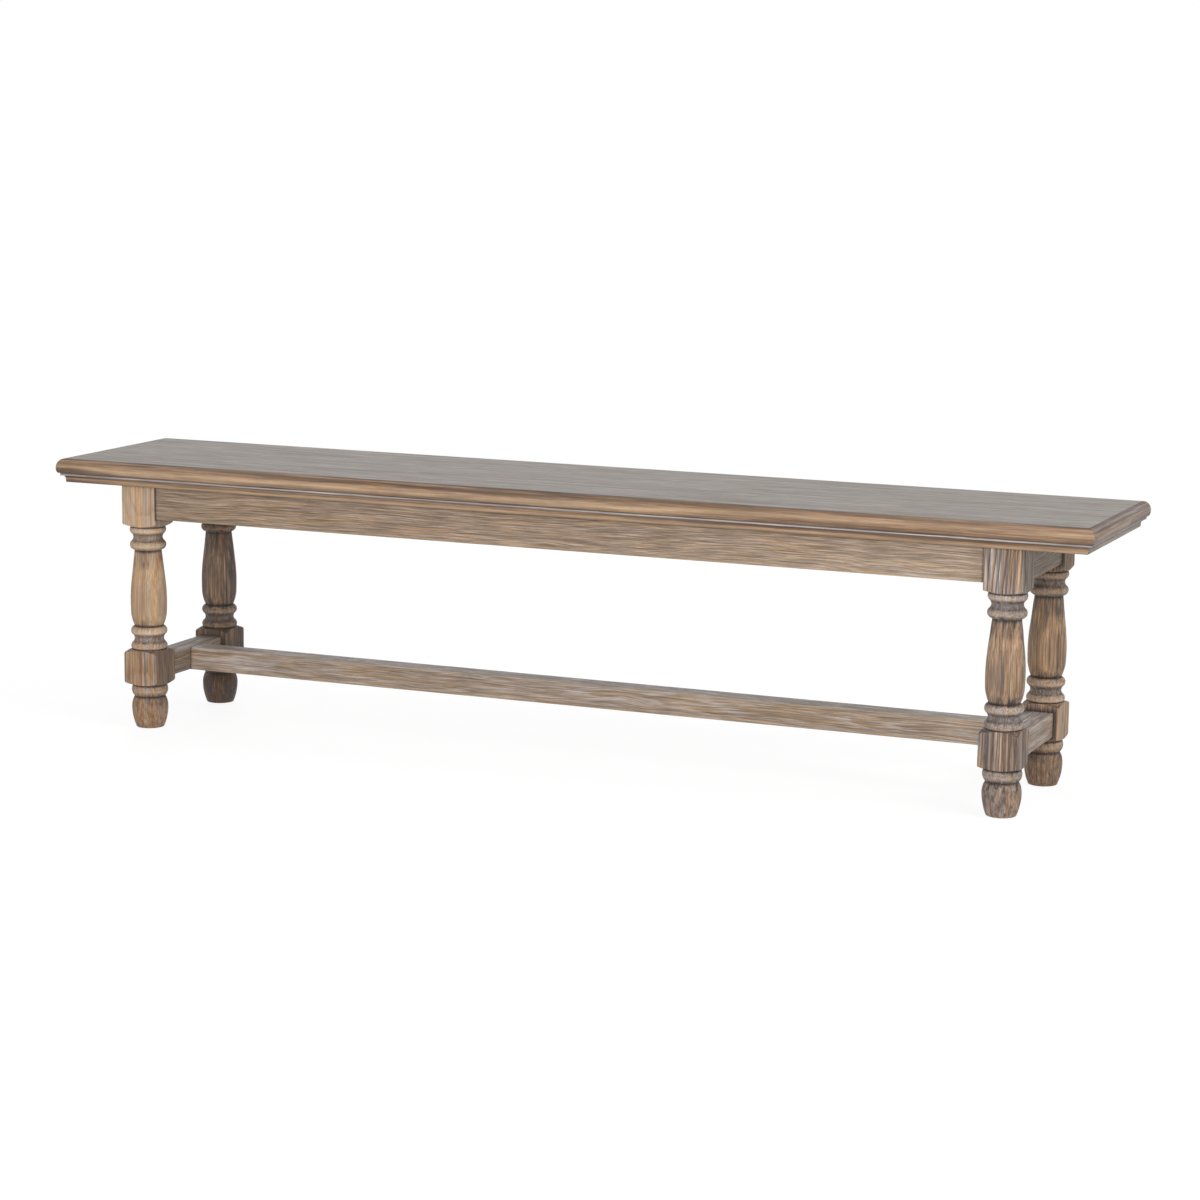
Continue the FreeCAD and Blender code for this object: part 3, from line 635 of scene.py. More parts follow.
def rounded_section(half_width, half_height, arrises):
    """Points round a rectangle with an arris of its own at each corner; arrises has a row per section."""
    signs = ((1, 1), (-1, 1), (-1, -1), (1, -1))
    arc = np.linspace(0, math.pi / 2, 6)
    corners = []
    for k, (side, level) in enumerate(signs):
        size = arrises[:, k:k + 1]
        angle = arc[None, :] + k * math.pi / 2
        across = side * (half_width - size) + size * np.cos(angle)
        up = level * (half_height - size) + size * np.sin(angle)
        corners.append(np.stack((across, up), axis=-1))
    columns = []
    for k in range(4):
        start = corners[k][:, -1:]
        end = corners[(k + 1) % 4][:, :1]
        length = 2 * (half_width if k % 2 == 0 else half_height)
        count = max(2, int(round(length / RAIL_GRID)))
        share = np.linspace(0, 1, count + 1)[None, 1:-1, None]
        columns.append(corners[k])
        columns.append(start + (end - start) * share)
    return np.concatenate(columns, axis=1)


def stations(start, end, spacing):
    """Places along a rail, closer together at its two ends."""
    near = np.array(RAIL_END_ROWS) * MM
    middle = np.linspace(start + RAIL_END, end - RAIL_END, max(4, int((end - start) / spacing)))
    return np.concatenate((start + near, middle, end - near[::-1]))


def rail(low, high, axis, arrises, unevenness, spacing, seed):
    """A long timber between two corners, along X or Y, with slightly uneven arrises."""
    other = 1 - axis
    places = stations(low[axis], high[axis], spacing)
    half_width = (high[other] - low[other]) / 2
    half_height = (high[2] - low[2]) / 2
    sizes = np.zeros((len(places), 4))
    for k in range(4):
        sizes[:, k] = arrises[k] * (1 + unevenness * noise_along(places, 0.03, seed + 11 + k))
    section = rounded_section(half_width, half_height, sizes)
    points = np.zeros((*section.shape[:2], 3))
    points[..., axis] = places[:, None]
    points[..., other] = section[..., 0] + (low[other] + high[other]) / 2
    points[..., 2] = section[..., 1] + (low[2] + high[2]) / 2
    piece = Piece(points)
    inset = np.hypot(half_width - np.abs(section[..., 0]), half_height - np.abs(section[..., 1]))
    from_end = np.minimum(places - places[0], places[-1] - places)[:, None]
    # Worn arrises, and dark glaze with painted shade at the ends, where the rails run into the legs.
    piece.spread(wear=0.8 * bell(inset, 0, 1.8 * MM), stain=bell(from_end, RAIL_LET_IN, SEAM_WIDTH))
    return piece


def finish_rail(piece, axes, rings, wash, warm, dirt, seed):
    """Gives a rail its growth rings, wash, warmth and darkening, with a pale painted sheen on top, where it
    is less warm and more smutted.
    """
    piece.grow(axes, piece.points.reshape(-1, 3).mean(axis=0), rings, RAIL_WAVE, seed)
    cloud = smooth_noise(piece.grain, (0.22, 0.03, 0.03), seed + 7)
    streak = smooth_noise(piece.grain, (0.3, 0.012, 0.012), seed + 8)
    level = piece.points[..., 2]
    top = smooth_step(level, level.max() - 2 * MM, level.max())
    # The extra pale wash on the top face is a painted sheen.
    piece.spread(wash=wash * patchy(cloud, 0.6, 0.3) + 0.9 * top)
    piece.spread(warm=(warm + 0.3 * streak) * (1 - 0.7 * top))
    piece.spread(lines=0.6, dirt=dirt, smut=RAIL_SMUT + 0.22 * top)


def between_legs(node, axis):
    """Corners of a rail between the legs, without its tenons."""
    low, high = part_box(node)
    low[axis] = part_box("leg_front_left")[1][axis] - RAIL_LET_IN
    high[axis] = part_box("leg_rear_right")[0][axis] + RAIL_LET_IN
    return low, high


def aprons(material):
    """Each apron has its axis, the pith and slope of its rings, and its warmth."""
    plans = (("front_apron", 0, (-0.062, 0.004), (0.03, 0.0), 0.6),
             ("rear_apron", 0, (0.058, -0.01), (-0.025, 0.0), 0.5),
             ("left_apron", 1, (-0.05, 0.012), (0.05, 0.0), 0.4),
             ("right_apron", 1, (-0.06, -0.02), (0.06, 0.0), 0.25))
    for seed, (node, axis, pith, slope, warm) in enumerate(plans, 41):
        piece = rail(*between_legs(node, axis), axis, (APRON_ARRIS,) * 4, RAIL_UNEVENNESS, 8 * MM, seed)
        # The front and rear aprons get lighter towards the right, where the painted shade fades out.
        cleaner = smooth_step(piece.points[..., axis], 0, 0.7) * (1 - axis)
        dirt = APRON_DIRT - APRON_DIRT * cleaner
        finish_rail(piece, (axis, 2, 1 - axis), (pith, slope, 5.6 * MM), 0.3, warm, dirt, seed)
        piece.build(node + "_rail", material, node, "rail_wood")


def stretchers(material):
    """Each stretcher has its axis, the spacing of its rows, its rings, and its wash, warmth and darkening.
    """
    plans = (("long_stretcher", 0, 8 * MM, ((0.006, -0.05), (0.0, 0.016), 5.2 * MM), (0.7, 0.45, 0.06)),
             ("left_cross_stretcher", 1, 6 * MM, ((-0.05, 0.02), (0.02, 0.03), 5 * MM), (0.75, 0.3, 0.22)),
             ("right_cross_stretcher", 1, 6 * MM, ((0.03, -0.06), (0.02, 0.03), 5 * MM), (0.75, 0.6, 0.12)))
    for seed, (node, axis, spacing, rings, finish) in enumerate(plans, 51):
        low, high = between_legs(node, axis)
        if node == "long_stretcher":
            low.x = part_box("left_cross_stretcher")[1].x - RAIL_LET_IN
            high.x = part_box("right_cross_stretcher")[0].x + RAIL_LET_IN
        piece = rail(low, high, axis, (STRETCHER_ARRIS,) * 4, RAIL_UNEVENNESS, spacing, seed)
        finish_rail(piece, (axis, 2, 1 - axis), rings, *finish, seed)
        piece.build(node + "_rail", material, node, "rail_wood")


def seat_boards(material):
    """Three boards with tight flush joints, eased only along the edge of the seat field."""
    piths = {"front": (0.1, -0.06), "middle": (-0.12, 0.07), "rear": (0.09, -0.08)}
    width = (FIELD_HIGH.y - FIELD_LOW.y) / len(piths)
    for index, (name, pith) in enumerate(piths.items()):
        low = Vector((FIELD_LOW.x, FIELD_LOW.y + index * width, FIELD_LOW.z))
        high = Vector((FIELD_HIGH.x, FIELD_LOW.y + (index + 1) * width, FIELD_HIGH.z))
        rear = FIELD_ARRIS if name == "rear" else BOARD_ARRIS
        front = FIELD_ARRIS if name == "front" else BOARD_ARRIS
        seed = 61 + index
        piece = rail(low, high, 0, (rear, front, front, rear), BOARD_UNEVENNESS, 12 * MM, seed)
        finish_rail(piece, (0, 1, 2), (pith, (0.0, 0.012), 6 * MM), 0.7, 0.5, 0, seed)
        edge = np.minimum(piece.points[..., 1] - FIELD_LOW.y, FIELD_HIGH.y - piece.points[..., 1])
        end = np.minimum(piece.points[..., 0] - FIELD_LOW.x, FIELD_HIGH.x - piece.points[..., 0])
        piece.spread(wear=0, smut=RAIL_SMUT, stain=0.8 * bell(np.minimum(edge, end), 0, 1.1 * MM))
        piece.build("seat_board_" + name + "_plank", material, "seat_board_" + name, "seat_wood")


# Strips round the seat: each is drawn for the front and turned to its side

STRIP_SPACING = 8 * MM
STRIP_RINGS = ((-0.03, -0.045), (0.008, 0.014), 6.2 * MM)
STRIP_WASH = {"front": 0.12, "right": 1.0, "rear": 0.15, "left": 0.5}
STRIP_DIRT = {"front": 0.05, "right": 0.5, "rear": 0.05, "left": 0.2}
STRIP_UNEVENNESS = 0.12 * MM


def strip(section, run, edge, side, seed):
    """A mitred strip along the front; the section's points are outward from the field's edge, and up."""
    count = max(12, int(run / STRIP_SPACING))
    shares = np.linspace(-1, 1, count + 1)
    outward = section[:, 0]
    points = np.zeros((count + 1, len(section), 3))
    points[..., 0] = shares[:, None] * (run / 2 + outward[None, :])
    points[..., 1] = -edge - outward[None, :]
    points[..., 2] = section[None, :, 1]
    wave = smooth_noise(points, (0.07, 0.012, 0.012), seed) * (1 - shares[:, None] ** 8)
    free = np.clip(outward / (4 * MM), 0, 1)[None, :]
    points[..., 1] += STRIP_UNEVENNESS * wave * free
    piece = Piece(points)
    piece.grow((0, 2, 1), points.reshape(-1, 3).mean(axis=0), STRIP_RINGS, STRIP_WAVE, seed)
    cloud = smooth_noise(piece.grain, (0.3, 0.015, 0.015), seed + 6)
    wash = STRIP_WASH[side]
    piece.spread(lines=0.5 - 0.25 * wash, wash=wash * patchy(cloud, 0.8, 0.6, 2))
    piece.spread(warm=(0.6 + 0.4 * cloud) * (1 - 0.6 * wash), dirt=STRIP_DIRT[side], smut=0.25)
    return piece


def turn_to_side(piece, quarter_turns):
    turned = (piece.points[..., 0] + 1j * piece.points[..., 1]) * 1j ** quarter_turns
    piece.points[..., 0] = turned.real
    piece.points[..., 1] = turned.imag


def strips(kind, section, finish, first_seed, material):
    """Builds a strip along each side of the seat, in quarter turns from the front."""
    length = FIELD_HIGH.x - FIELD_LOW.x
    depth = FIELD_HIGH.y - FIELD_LOW.y
    for turns, side in enumerate(SIDES):
        run, across = (length, depth) if turns % 2 == 0 else (depth, length)
        seed = first_seed + turns
        piece = strip(section, run, across / 2, side, seed)
        finish(piece, section, run, seed)
        turn_to_side(piece, turns)
        piece.build(kind + "_" + side + "_strip", material, kind + "_" + side, "edge_wood")


def nosing_section():
    """Most of a half ellipse, with eased edges and a flat underside, closed along its back."""
    projection = FIELD_LOW.y - NOSING_EDGE
    top = FIELD_HIGH.z
    base = FIELD_LOW.z
    half = (top - base + NOSING_RUN_ON) / 2
    angles = np.linspace(math.pi / 2, -math.pi / 2, 61)[1:]
    ellipse = np.stack((projection * np.cos(angles), top - half + half * np.sin(angles)), axis=-1)
    ease = np.array(((0, top - NOSING_ARRIS), (0.25 * NOSING_ARRIS, top - 0.35 * NOSING_ARRIS)))
    kept = ellipse[(ellipse[:, 0] > NOSING_ARRIS) & (ellipse[:, 1] > base + NOSING_LOWER_ARRIS)]
    turn = np.linspace(0, math.pi / 2, 6)[1:]
    rounding = np.stack((0.3 + 0.7 * (1 - np.cos(turn)), np.sin(turn)), axis=-1)
    lower_edge = kept[-1] - NOSING_LOWER_ARRIS * rounding
    lower_edge[:, 1] = np.maximum(lower_edge[:, 1], base)
    foot = np.array(((0, base),))
    return np.concatenate((ease, kept, lower_edge, foot))


def finish_nosing(piece, section, run, seed):
    """Dark glaze and painted shade along the edges, painted shade on the upper and lower parts of the round,
    and a painted highlight, partly wear, that lies lower on the left half than on the right.
    """
    depth = ((FIELD_HIGH.z - section[:, 1]) / (FIELD_HIGH.z - FIELD_LOW.z))[None, :]
    share = piece.points[..., 0] / run
    sunk = smooth_step(share, -0.5, -0.43) * (1 - smooth_step(share, 0.09, 0.2))
    wander = noise_along(piece.grain[..., 0], 0.45, seed + 5)
    streak = smooth_noise(piece.grain, (0.22, 0.006, 0.005), seed + 4)
    # Dark glaze along the top edge; painted shade along the lower edge and on the upper and lower parts of
    # the round.
    edges = 0.75 * bell(depth, 0, 0.05) + 0.7 * bell(depth, 1, 0.06)
    upper = (0.38 + 0.24 * sunk) * bell(depth, 0.22, 0.18)
    lower = 0.48 * (1 - sunk) * bell(depth, 0.78, 0.16)
    # A painted highlight, partly wear, across the middle of the round.
    bright = bell(depth, 0.48 + 0.2 * sunk + 0.05 * wander, 0.16)
    piece.spread(stain=np.clip((edges + upper + lower) * (1 + 0.8 * streak), 0, 1))
    piece.spread(wear=np.clip(bright * (0.38 + 0.42 * sunk + 0.4 * streak), 0, 1))


def bed_section():
    """Fillet, cove and plain band, closed in front of the legs' faces."""
    fillet = FIELD_LOW.y - BED_LOW.y
    top = BED_HIGH.z
    base = BED_LOW.z
    band_edge = fillet - BED_STEP - BED_COVE_DEPTH
    cove_top = top - BED_FILLET_HEIGHT
    cove_base = cove_top - BED_COVE_HEIGHT
    back = FIELD_LOW.y - BED_HIGH.y
    size = (BED_COVE_HEIGHT ** 2 + BED_COVE_DEPTH ** 2) / (2 * BED_COVE_DEPTH)
    turns = np.linspace(2 * math.atan2(BED_COVE_DEPTH, BED_COVE_HEIGHT), 0, 14)
    cove = [(band_edge + size * (1 - math.cos(turn)), cove_base + size * math.sin(turn)) for turn in turns]
    points = [(fillet - BED_EASE, top), (fillet, top - BED_EASE), (fillet, cove_top + BED_FILLET_HEIGHT / 2)]
    points += [(fillet, cove_top + BED_EASE), (fillet - BED_EASE, cove_top)] + cove
    points += [(band_edge, base + BED_EASE), (band_edge - BED_EASE, base), (back, base), (back, top)]
    return np.array(points)


def finish_bed(piece, section, run, seed):
    """Pale wash and a painted highlight on the fillet, painted shade in the cove, along the fillet's edges
    and along the lower edge, a worn band, and a darker left end.
    """
    down = BED_HIGH.z - section[:, 1]
    height = BED_HIGH.z - BED_LOW.z
    outermost = FIELD_LOW.y - BED_LOW.y
    along = piece.points[..., 0]
    fillet = smooth_step(section[:, 0], outermost - 1 * MM, outermost - BED_EASE)
    # Painted shade in the cove under the fillet, along the lower edge, and along the top and the bottom of
    # the fillet.
    cove = bell(down, BED_FILLET_HEIGHT, 3.6 * MM) * (1 - fillet)
    seam = 0.6 * bell(down, height, 0.8 * MM)
    band = bell(down, height - 1.5 * MM, 2.2 * MM)
    shade = 0.95 * bell(down, 0, 1.2 * MM) + 0.8 * bell(down, BED_FILLET_HEIGHT, 1 * MM) * fillet
    streak = smooth_noise(piece.grain, (0.16, 0.006, 0.005), seed + 4)
    washed_out = bell(along, -run / 12, run / 4)
    end = smooth_step(-along / run, 0.42, 0.5)
    glaze = (0.85 - 0.45 * washed_out) * cove + seam + shade + 0.35 * end * (1 - fillet)
    # A strong pale wash on the fillet, strongest in the middle of the run, that is partly a painted
    # highlight.
    kept = 2 + 8 * bell(along, 0, run / 3)
    piece.spread(stain=np.clip(glaze, 0, 1), smut=0.12 * (1 - fillet))
    piece.spread(wash=np.maximum(piece.fields["wash"], kept * fillet))
    piece.spread(wear=np.clip(band * (0.6 + 0.4 * washed_out - 0.6 * end + 0.5 * streak), 0, 1))


# Materials

class Graph:
    """The nodes of one material; most methods add a node and give its output."""

    def __init__(self, owner):
        owner.use_nodes = True
        self.owner = owner
        self.tree = owner.node_tree
        self.tree.nodes.clear()

    def add(self, kind, inputs=(), **settings):
        node = self.tree.nodes.new(kind)
        for name, value in settings.items():
            setattr(node, name, value)
        for key, value in dict(inputs).items():
            if isinstance(value, bpy.types.NodeSocket):
                self.tree.links.new(value, node.inputs[key])
            else:
                node.inputs[key].default_value = value
        return node

    def attribute(self, name, output="Fac"):
        return self.add("ShaderNodeAttribute", attribute_name=name).outputs[output]

    def place(self):
        return self.add("ShaderNodeTexCoord").outputs["Object"]

    def math(self, operation, first, second=0.0, third=0.0):
        return self.add("ShaderNodeMath", {0: first, 1: second, 2: third}, operation=operation).outputs[0]

    def times(self, *values):
        product = values[0]
        for value in values[1:]:
            product = self.math("MULTIPLY", product, value)
        return product

    def pattern(self, vector, scales, detail, roughness=0.55, distortion=0.0):
        """Noise with the given numbers of features to a metre along each axis."""
        scaled = self.add("ShaderNodeVectorMath", {0: vector, 1: scales}, operation="MULTIPLY").outputs[0]
        inputs = {"Vector": scaled, "Scale": 1.0, "Detail": detail, "Roughness": roughness}
        return self.add("ShaderNodeTexNoise", {**inputs, "Distortion": distortion}).outputs["Fac"]

    def span(self, value, low, high, first=0.0, last=1.0):
        """Eases from first to last while the value goes from low to high."""
        inputs = {"Value": value, "From Min": low, "From Max": high, "To Min": first, "To Max": last}
        return self.add("ShaderNodeMapRange", inputs, interpolation_type="SMOOTHSTEP").outputs["Result"]

    def ramp(self, value, stops):
        node = self.add("ShaderNodeValToRGB", {"Fac": value})
        elements = node.color_ramp.elements
        while len(elements) < len(stops):
            elements.new(0.5)
        for element, (place, level) in zip(elements, stops):
            element.position = place
            element.color = (level, level, level, 1)
        return node.outputs["Color"]

    def blend(self, factor, first, second):
        return self.add("ShaderNodeMix", {0: factor, 2: first, 3: second}).outputs[0]

    def mix(self, factor, first, second, blend="MIX"):
        inputs = {0: factor, 6: first, 7: second}
        return self.add("ShaderNodeMix", inputs, data_type="RGBA", blend_type=blend).outputs[2]

    def bump(self, height, strength, distance):
        inputs = {"Height": height, "Strength": strength, "Distance": distance}
        return self.add("ShaderNodeBump", inputs).outputs["Normal"]

    def surface(self, colour, roughness, normal, **others):
        """Ends the material with its surface, and gives the material."""
        inputs = {"Base Color": colour, "Roughness": roughness, "Normal": normal, **others}
        shader = self.add("ShaderNodeBsdfPrincipled", inputs)
        self.add("ShaderNodeOutputMaterial", {"Surface": shader.outputs["BSDF"]})
        return self.owner


# Finish of each kind of timber: its colours, how strong its figure, thin lines, pore lines, streaks, fibres
# and pores are, how many streaks there are to a metre along and across the fibres, and its gloss and relief
COMMON_LOOK = dict(amber=(180, 120, 64), dirt=(150, 132, 116), smut=(66, 62, 62), figure=0.6, pins=0.6,
                   veins=0.15, streaks=0.25, fibres=0.2, along=5, across=380, pores=0.3, gloss=0.5)
# The seat's pale greyish colours are partly a painted sheen, beside its low gloss.
SEAT_LOOK = dict(COMMON_LOOK, pale=(141, 130, 117), brown=(119, 109, 97), line=(86, 78, 70),
                 honey=(144, 127, 106), wash=(147, 141, 135), worn=(160, 149, 136), glaze=(66, 62, 60),
                 pin=(86, 78, 70), veins=0.3, rough=(0.4, 0.62), gloss=0.25, bump=0.14)
EDGE_LOOK = dict(COMMON_LOOK, pale=(170, 137, 105), brown=(124, 95, 71), line=(84, 62, 46),
                 honey=(186, 144, 100), wash=(194, 188, 187), worn=(218, 188, 154), glaze=(66, 50, 40),
                 pin=(84, 62, 46), figure=0.45, streaks=0.35, fibres=0.24, rough=(0.42, 0.56), bump=0.12)
LEG_LOOK = dict(COMMON_LOOK, pale=(194, 163, 131), brown=(152, 125, 101), line=(80, 64, 53),
                honey=(200, 152, 102), wash=(188, 182, 181), worn=(216, 190, 158), glaze=(54, 52, 53),
                pin=(80, 64, 53), figure=0.8, streaks=0.28, fibres=0.32, along=2.5, across=470, pores=0.45,
                rough=(0.52, 0.72), bump=0.3)
RAIL_LOOK = dict(COMMON_LOOK, pale=(164, 138, 109), brown=(142, 118, 93), line=(88, 71, 58),
                 honey=(192, 152, 104), wash=(184, 178, 176), worn=(192, 170, 144), glaze=(52, 45, 40),
                 pin=(184, 178, 176), figure=0.5, pins=0.4, veins=0.75, streaks=0.22, fibres=0.38,
                 across=700, pores=0.4, rough=(0.46, 0.64), bump=0.25)
# Levels of a noise between which something comes in
MIDDLE = (0.36, 0.64)
WIDE = (0.3, 0.7)


class Wood(Graph):
    """Brushed and washed timber; its rings, wash and painted sheen, glaze and painted shade, warmth, and
    wear and painted highlights come with the mesh.
    """

    def __init__(self, name, look):
        super().__init__(bpy.data.materials.new(name))
        self.look = look
        self.colour = srgb(*look["brown"])
        self.on = {field: self.attribute(field) for field in FIELDS}
        self.draw_patterns(look["along"], look["across"])
        wobble = self.times(self.on["streak"], 0.4)
        self.turn = self.math("FRACT", self.math("ADD", self.on["rings"], wobble))
        self.hard = self.times(self.ramp(self.turn, LATE_WOOD), self.on["lines"])
        self.pores = self.span(self.on["fleck"], 0.56, 0.7, 0.0, look["pores"])

    def draw_patterns(self, along, across):
        """Noise of several sizes: features along and across the fibres, detail, roughness, distortion."""
        grain = self.attribute("grain", "Vector")
        plans = dict(band=(0.5 * along, 0.45 * across, 2, 0.5, 0.5), streak=(along, across, 2, 0.5, 0.6),
                     haze=(1.3 * along, 0.8 * across, 2, 0.5, 0.5), thread=(0.6 * along, 240, 1, 0.5, 0.4),
                     fibre=(4 * along, 560, 3, 0.6), cloud=(9, 45, 4, 0.6), patch=(10, 130, 5, 0.68),
                     fleck=(60, 1400, 2))
        for name, (lengthwise, crosswise, *rest) in plans.items():
            self.on[name] = self.pattern(grain, (lengthwise, crosswise, crosswise), *rest)

    def lay(self, share, name, blend="MIX"):
        """Lays one of the look's colours over those before it."""
        self.colour = self.mix(share, self.colour, srgb(*self.look[name]), blend)

    def lighten(self, light):
        self.colour = self.mix(1.0, self.colour, light, "MULTIPLY")

    def grow(self):
        """Brown and pale wood with warm streaks, dark late wood, thin lines and lines of pores."""
        warm, cloud, lines = (self.on[name] for name in ("warm", "cloud", "lines"))
        lean = self.math("MULTIPLY_ADD", warm, 0.3, -0.15)
        self.lay(self.span(self.math("ADD", self.on["band"], lean), 0.32, 0.66), "pale")
        gold = self.span(self.on["streak"], 0.46, 0.62)
        self.lay(self.times(warm, gold, self.span(cloud, 0.42, 0.6)), "honey")
        figure = self.span(cloud, 0.3, 0.65, 0.5 * self.look["figure"], self.look["figure"])
        self.lay(self.times(self.hard, self.hard, figure), "line")
        off_thread = self.math("ABSOLUTE", self.math("SUBTRACT", self.on["thread"], 0.5))
        self.lay(self.times(lines, self.span(off_thread, 0.005, 0.06, self.look["pins"], 0.0)), "pin")
        veins = self.span(cloud, 0.35, 0.6, 0.3 * self.look["veins"], self.look["veins"])
        self.lay(self.times(lines, self.ramp(self.turn, PORE_LINE), veins), "pin")

    def brush(self):
        """Wash and painted sheen in the soft wood, amber lines, lighter and darker streaks and fibres, and
        dark pores.
        """
        lines = self.on["lines"]
        soft = self.math("SUBTRACT", 1.0, self.hard)
        grooves = self.blend(lines, self.span(self.on["haze"], 0.44, 0.62), self.times(soft, soft))
        self.lay(self.times(self.on["wash"], grooves), "wash")
        self.lay(self.on["amber"], "amber")
        swing = self.times(lines, self.span(self.on["streak"], *MIDDLE, -1.0, 1.0))
        self.lighten(self.math("MULTIPLY_ADD", swing, self.look["streaks"], 1.0))
        fibres = self.look["fibres"]
        self.lighten(self.span(self.on["fibre"], *WIDE, 1 - fibres, 1 + fibres))
        self.lay(self.pores, "line")

    def age(self):
        """Wear and painted highlights, darkening that is partly painted shade, and smut, with the dark glaze
        and painted shade on top.
        """
        self.lay(self.times(self.on["wear"], self.span(self.on["cloud"], 0.3, 0.6, 0.5, 0.9)), "worn")
        self.lay(self.on["dirt"], "dirt", "MULTIPLY")
        self.lay(self.times(self.on["smut"], self.span(self.on["patch"], 0.42, 0.66)), "smut")
        self.lay(self.times(self.on["stain"], self.span(self.on["streak"], *MIDDLE, 1.0, 0.75)), "glaze")

    def material(self):
        self.grow()
        self.brush()
        self.age()
        fibre = self.on["fibre"]
        smooth, rough = self.look["rough"]
        mixed = self.math("MULTIPLY_ADD", self.on["streak"], 0.6, self.times(fibre, 0.4))
        roughness = self.span(mixed, *MIDDLE, rough, smooth)
        height = self.math("ADD", self.times(self.hard, 0.6), self.times(fibre, 0.7))
        height = self.math("SUBTRACT", height, self.times(self.pores, 0.5))
        normal = self.bump(height, self.look["bump"], 0.6 * MM)
        return self.surface(self.colour, roughness, normal, **{"Specular IOR Level": self.look["gloss"]})


def plain_timber(name, along):
    """Unfinished inner timber of the carried-over pieces, with its fibres along one axis."""
    graph = Graph(bpy.data.materials.new(name))
    place = graph.place()
    fine = [420.0] * 3
    fine[along] = 14.0
    broad = [70.0] * 3
    broad[along] = 5.0
    fibre = graph.pattern(place, fine, 4, 0.6)
    streak = graph.pattern(place, broad, 4, 0.55, 0.6)
    colour = graph.mix(graph.span(streak, 0.35, 0.65), srgb(196, 170, 132), srgb(168, 138, 102))
    colour = graph.mix(1.0, colour, graph.span(fibre, *WIDE, 0.82, 1.12), "MULTIPLY")
    roughness = graph.span(fibre, *WIDE, 0.82, 0.66)
    return graph.surface(colour, roughness, graph.bump(fibre, 0.25, 0.5 * MM))


def screw_steel():
    """Zinc-plated steel with a faint yellow bloom and fine turning marks."""
    graph = Graph(bpy.data.materials.new("screw_steel"))
    place = graph.place()
    bloom = graph.pattern(place, (160, 160, 160), 4)
    marks = graph.pattern(place, (900, 900, 900), 3)
    colour = graph.mix(graph.span(bloom, 0.35, 0.65), srgb(176, 178, 178), srgb(178, 168, 138))
    roughness = graph.span(marks, *WIDE, 0.28, 0.46)
    return graph.surface(colour, roughness, graph.bump(marks, 0.15, 0.2 * MM), Metallic=1.0)


def glide_plastic():
    """Moulded brown plastic with a fine texture and scuffs."""
    graph = Graph(bpy.data.materials.new("glide_plastic"))
    place = graph.place()
    texture = graph.pattern(place, (1400, 1400, 1400), 3)
    scuffs = graph.pattern(place, (90, 300, 90), 5, 0.65)
    colour = graph.mix(graph.span(scuffs, 0.5, 0.75), srgb(70, 56, 46), srgb(112, 98, 86))
    roughness = graph.span(scuffs, 0.35, 0.7, 0.42, 0.7)
    return graph.surface(colour, roughness, graph.bump(texture, 0.2, 0.15 * MM))


def dress_inner_pieces():
    """Gives the carried-over pieces their finish, by the first of these that starts their name."""
    steel = screw_steel()
    finishes = {"seat_bearer": plain_timber("inner_wood_across", 1), "corner_block_screws": steel,
                "seat_screws": steel, "bearer_screws": steel,
                "corner_block": plain_timber("inner_wood_lengthwise", 0), "foot_glide": glide_plastic()}
    for name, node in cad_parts.items():
        for start, material in finishes.items():
            if name.startswith(start):
                node.data.materials[0] = material
                break


# Stage

FLOOR_RADIUS = 14.0
FLOOR_STEPS = 96
FLOOR_SHADOW = 0.16  # share of the floor's brightness near the bench that shadows take away
SHADOW_FADE = (1.0, 4.0)  # distances between which that share goes to nothing
FLOOR_LIGHT = 0.7  # light on the open floor
FLOOR_BOUNCE = (0.4, 0.39, 0.38, 1)  # colour of the light that the floor throws back
WORLD_STRENGTH = 0.3
BLACK = (0, 0, 0, 1)
WHITE = (1, 1, 1, 1)


def seen_directly(graph):
    """1 for rays that show the background: from the camera, or from gloss and glass."""
    path = graph.add("ShaderNodeLightPath")
    seen = graph.math("MAXIMUM", path.outputs["Is Camera Ray"], path.outputs["Is Glossy Ray"])
    return graph.math("MAXIMUM", seen, path.outputs["Is Transmission Ray"])


def white_surroundings():
    world = bpy.data.worlds.new("white_surroundings")
    bpy.context.scene.world = world
    graph = Graph(world)
    strength = graph.blend(seen_directly(graph), WORLD_STRENGTH, 1.0)
    light = graph.add("ShaderNodeBackground", {"Color": WHITE, "Strength": strength})
    graph.add("ShaderNodeOutputWorld", {"Surface": light.outputs[0]})


def floor_material():
    """Pale for the light that it throws back, and white with a faint shadow where it is seen."""
    graph = Graph(bpy.data.materials.new("pale_floor"))
    seen = seen_directly(graph)
    distance = graph.add("ShaderNodeVectorMath", {0: graph.place()}, operation="LENGTH").outputs["Value"]
    near = graph.span(distance, *SHADOW_FADE, FLOOR_SHADOW, 0.0)
    colour = graph.mix(seen, FLOOR_BOUNCE, graph.mix(near, BLACK, WHITE))
    matt = graph.add("ShaderNodeBsdfDiffuse", {"Color": colour})
    glow = graph.times(seen, graph.math("SUBTRACT", 1.0, graph.times(near, FLOOR_LIGHT)))
    white = graph.add("ShaderNodeEmission", {"Color": WHITE, "Strength": glow})
    both = graph.add("ShaderNodeAddShader", {0: matt.outputs[0], 1: white.outputs[0]})
    graph.add("ShaderNodeOutputMaterial", {"Surface": both.outputs[0]})
    return graph.owner


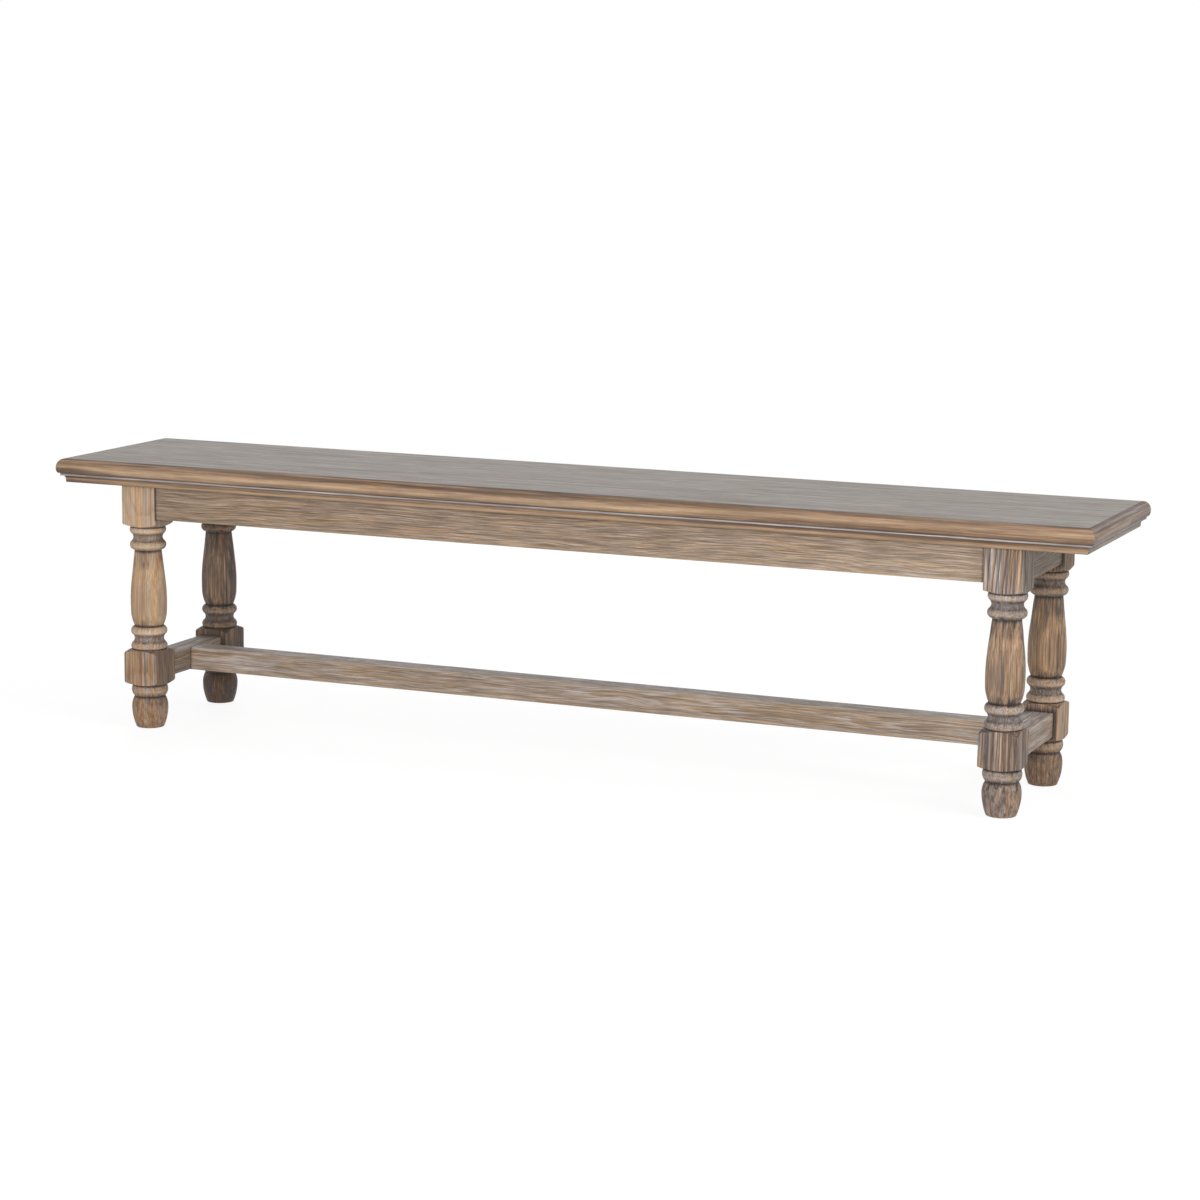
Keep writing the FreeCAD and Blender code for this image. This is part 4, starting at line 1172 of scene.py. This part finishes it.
def pale_floor():
    """A wide disc that fades into the surroundings."""
    turns = [2 * math.pi * k / FLOOR_STEPS for k in range(FLOOR_STEPS)]
    ring = [(FLOOR_RADIUS * math.cos(turn), FLOOR_RADIUS * math.sin(turn), 0) for turn in turns]
    mesh = bpy.data.meshes.new("floor")
    mesh.from_pydata(ring, [], [list(range(FLOOR_STEPS))])
    mesh.materials.append(floor_material())
    floor = add_object("floor", mesh)


def soft_box(name, place, target, size, power):
    lamp = bpy.data.lights.new(name, "AREA")
    lamp.shape = "RECTANGLE"
    lamp.size, lamp.size_y = size
    lamp.energy = power
    box = add_object(name, lamp)
    box.location = place
    box.rotation_euler = (Vector(target) - Vector(place)).to_track_quat("-Z", "Y").to_euler()
    box.visible_glossy = False


def lights():
    soft_box("key_light", (0.9, -4.2, 1.2), (0, 0, 0.3), (2.6, 1.6), 135)
    soft_box("side_light", (3.3, -0.9, 2.7), (0.4, 0, 0.3), (1.6, 1.6), 60)
    soft_box("top_light", (0.0, 0.4, 3.2), (0, 0, 0.4), (3.0, 1.6), 12)
    soft_box("back_light", (-2.2, 3.6, 1.7), (0, 0, 0.3), (2.6, 1.6), 80)


def camera():
    yaw, pitch, roll = (math.radians(angle) for angle in (CAMERA_YAW, CAMERA_PITCH, CAMERA_ROLL))
    lens = bpy.data.cameras.new("camera")
    lens.lens = CAMERA_LENS
    lens.sensor_width = SENSOR_WIDTH
    view = add_object("camera", lens)
    turn = Matrix.Rotation(yaw, 4, "Z") @ Matrix.Rotation(math.pi / 2 - pitch, 4, "X")
    view.matrix_world = Matrix.Translation(CAMERA_PLACE) @ turn @ Matrix.Rotation(-roll, 4, "Z")
    bpy.context.scene.camera = view


# Assembly

def dress_bench():
    seat_boards(Wood("seat_wood", SEAT_LOOK).material())
    edge = Wood("edge_wood", EDGE_LOOK).material()
    strips("edge_nosing", nosing_section(), finish_nosing, 71, edge)
    strips("bed_moulding", bed_section(), finish_bed, 81, edge)
    leg = Wood("leg_wood", LEG_LOOK).material()
    for corner in CORNERS:
        turned_leg(corner, leg)
    rails = Wood("rail_wood", RAIL_LOOK).material()
    aprons(rails)
    stretchers(rails)
    dress_inner_pieces()


dress_bench()
white_surroundings()
pale_floor()
lights()
camera()
bpy.context.scene.view_settings.view_transform = "Standard"
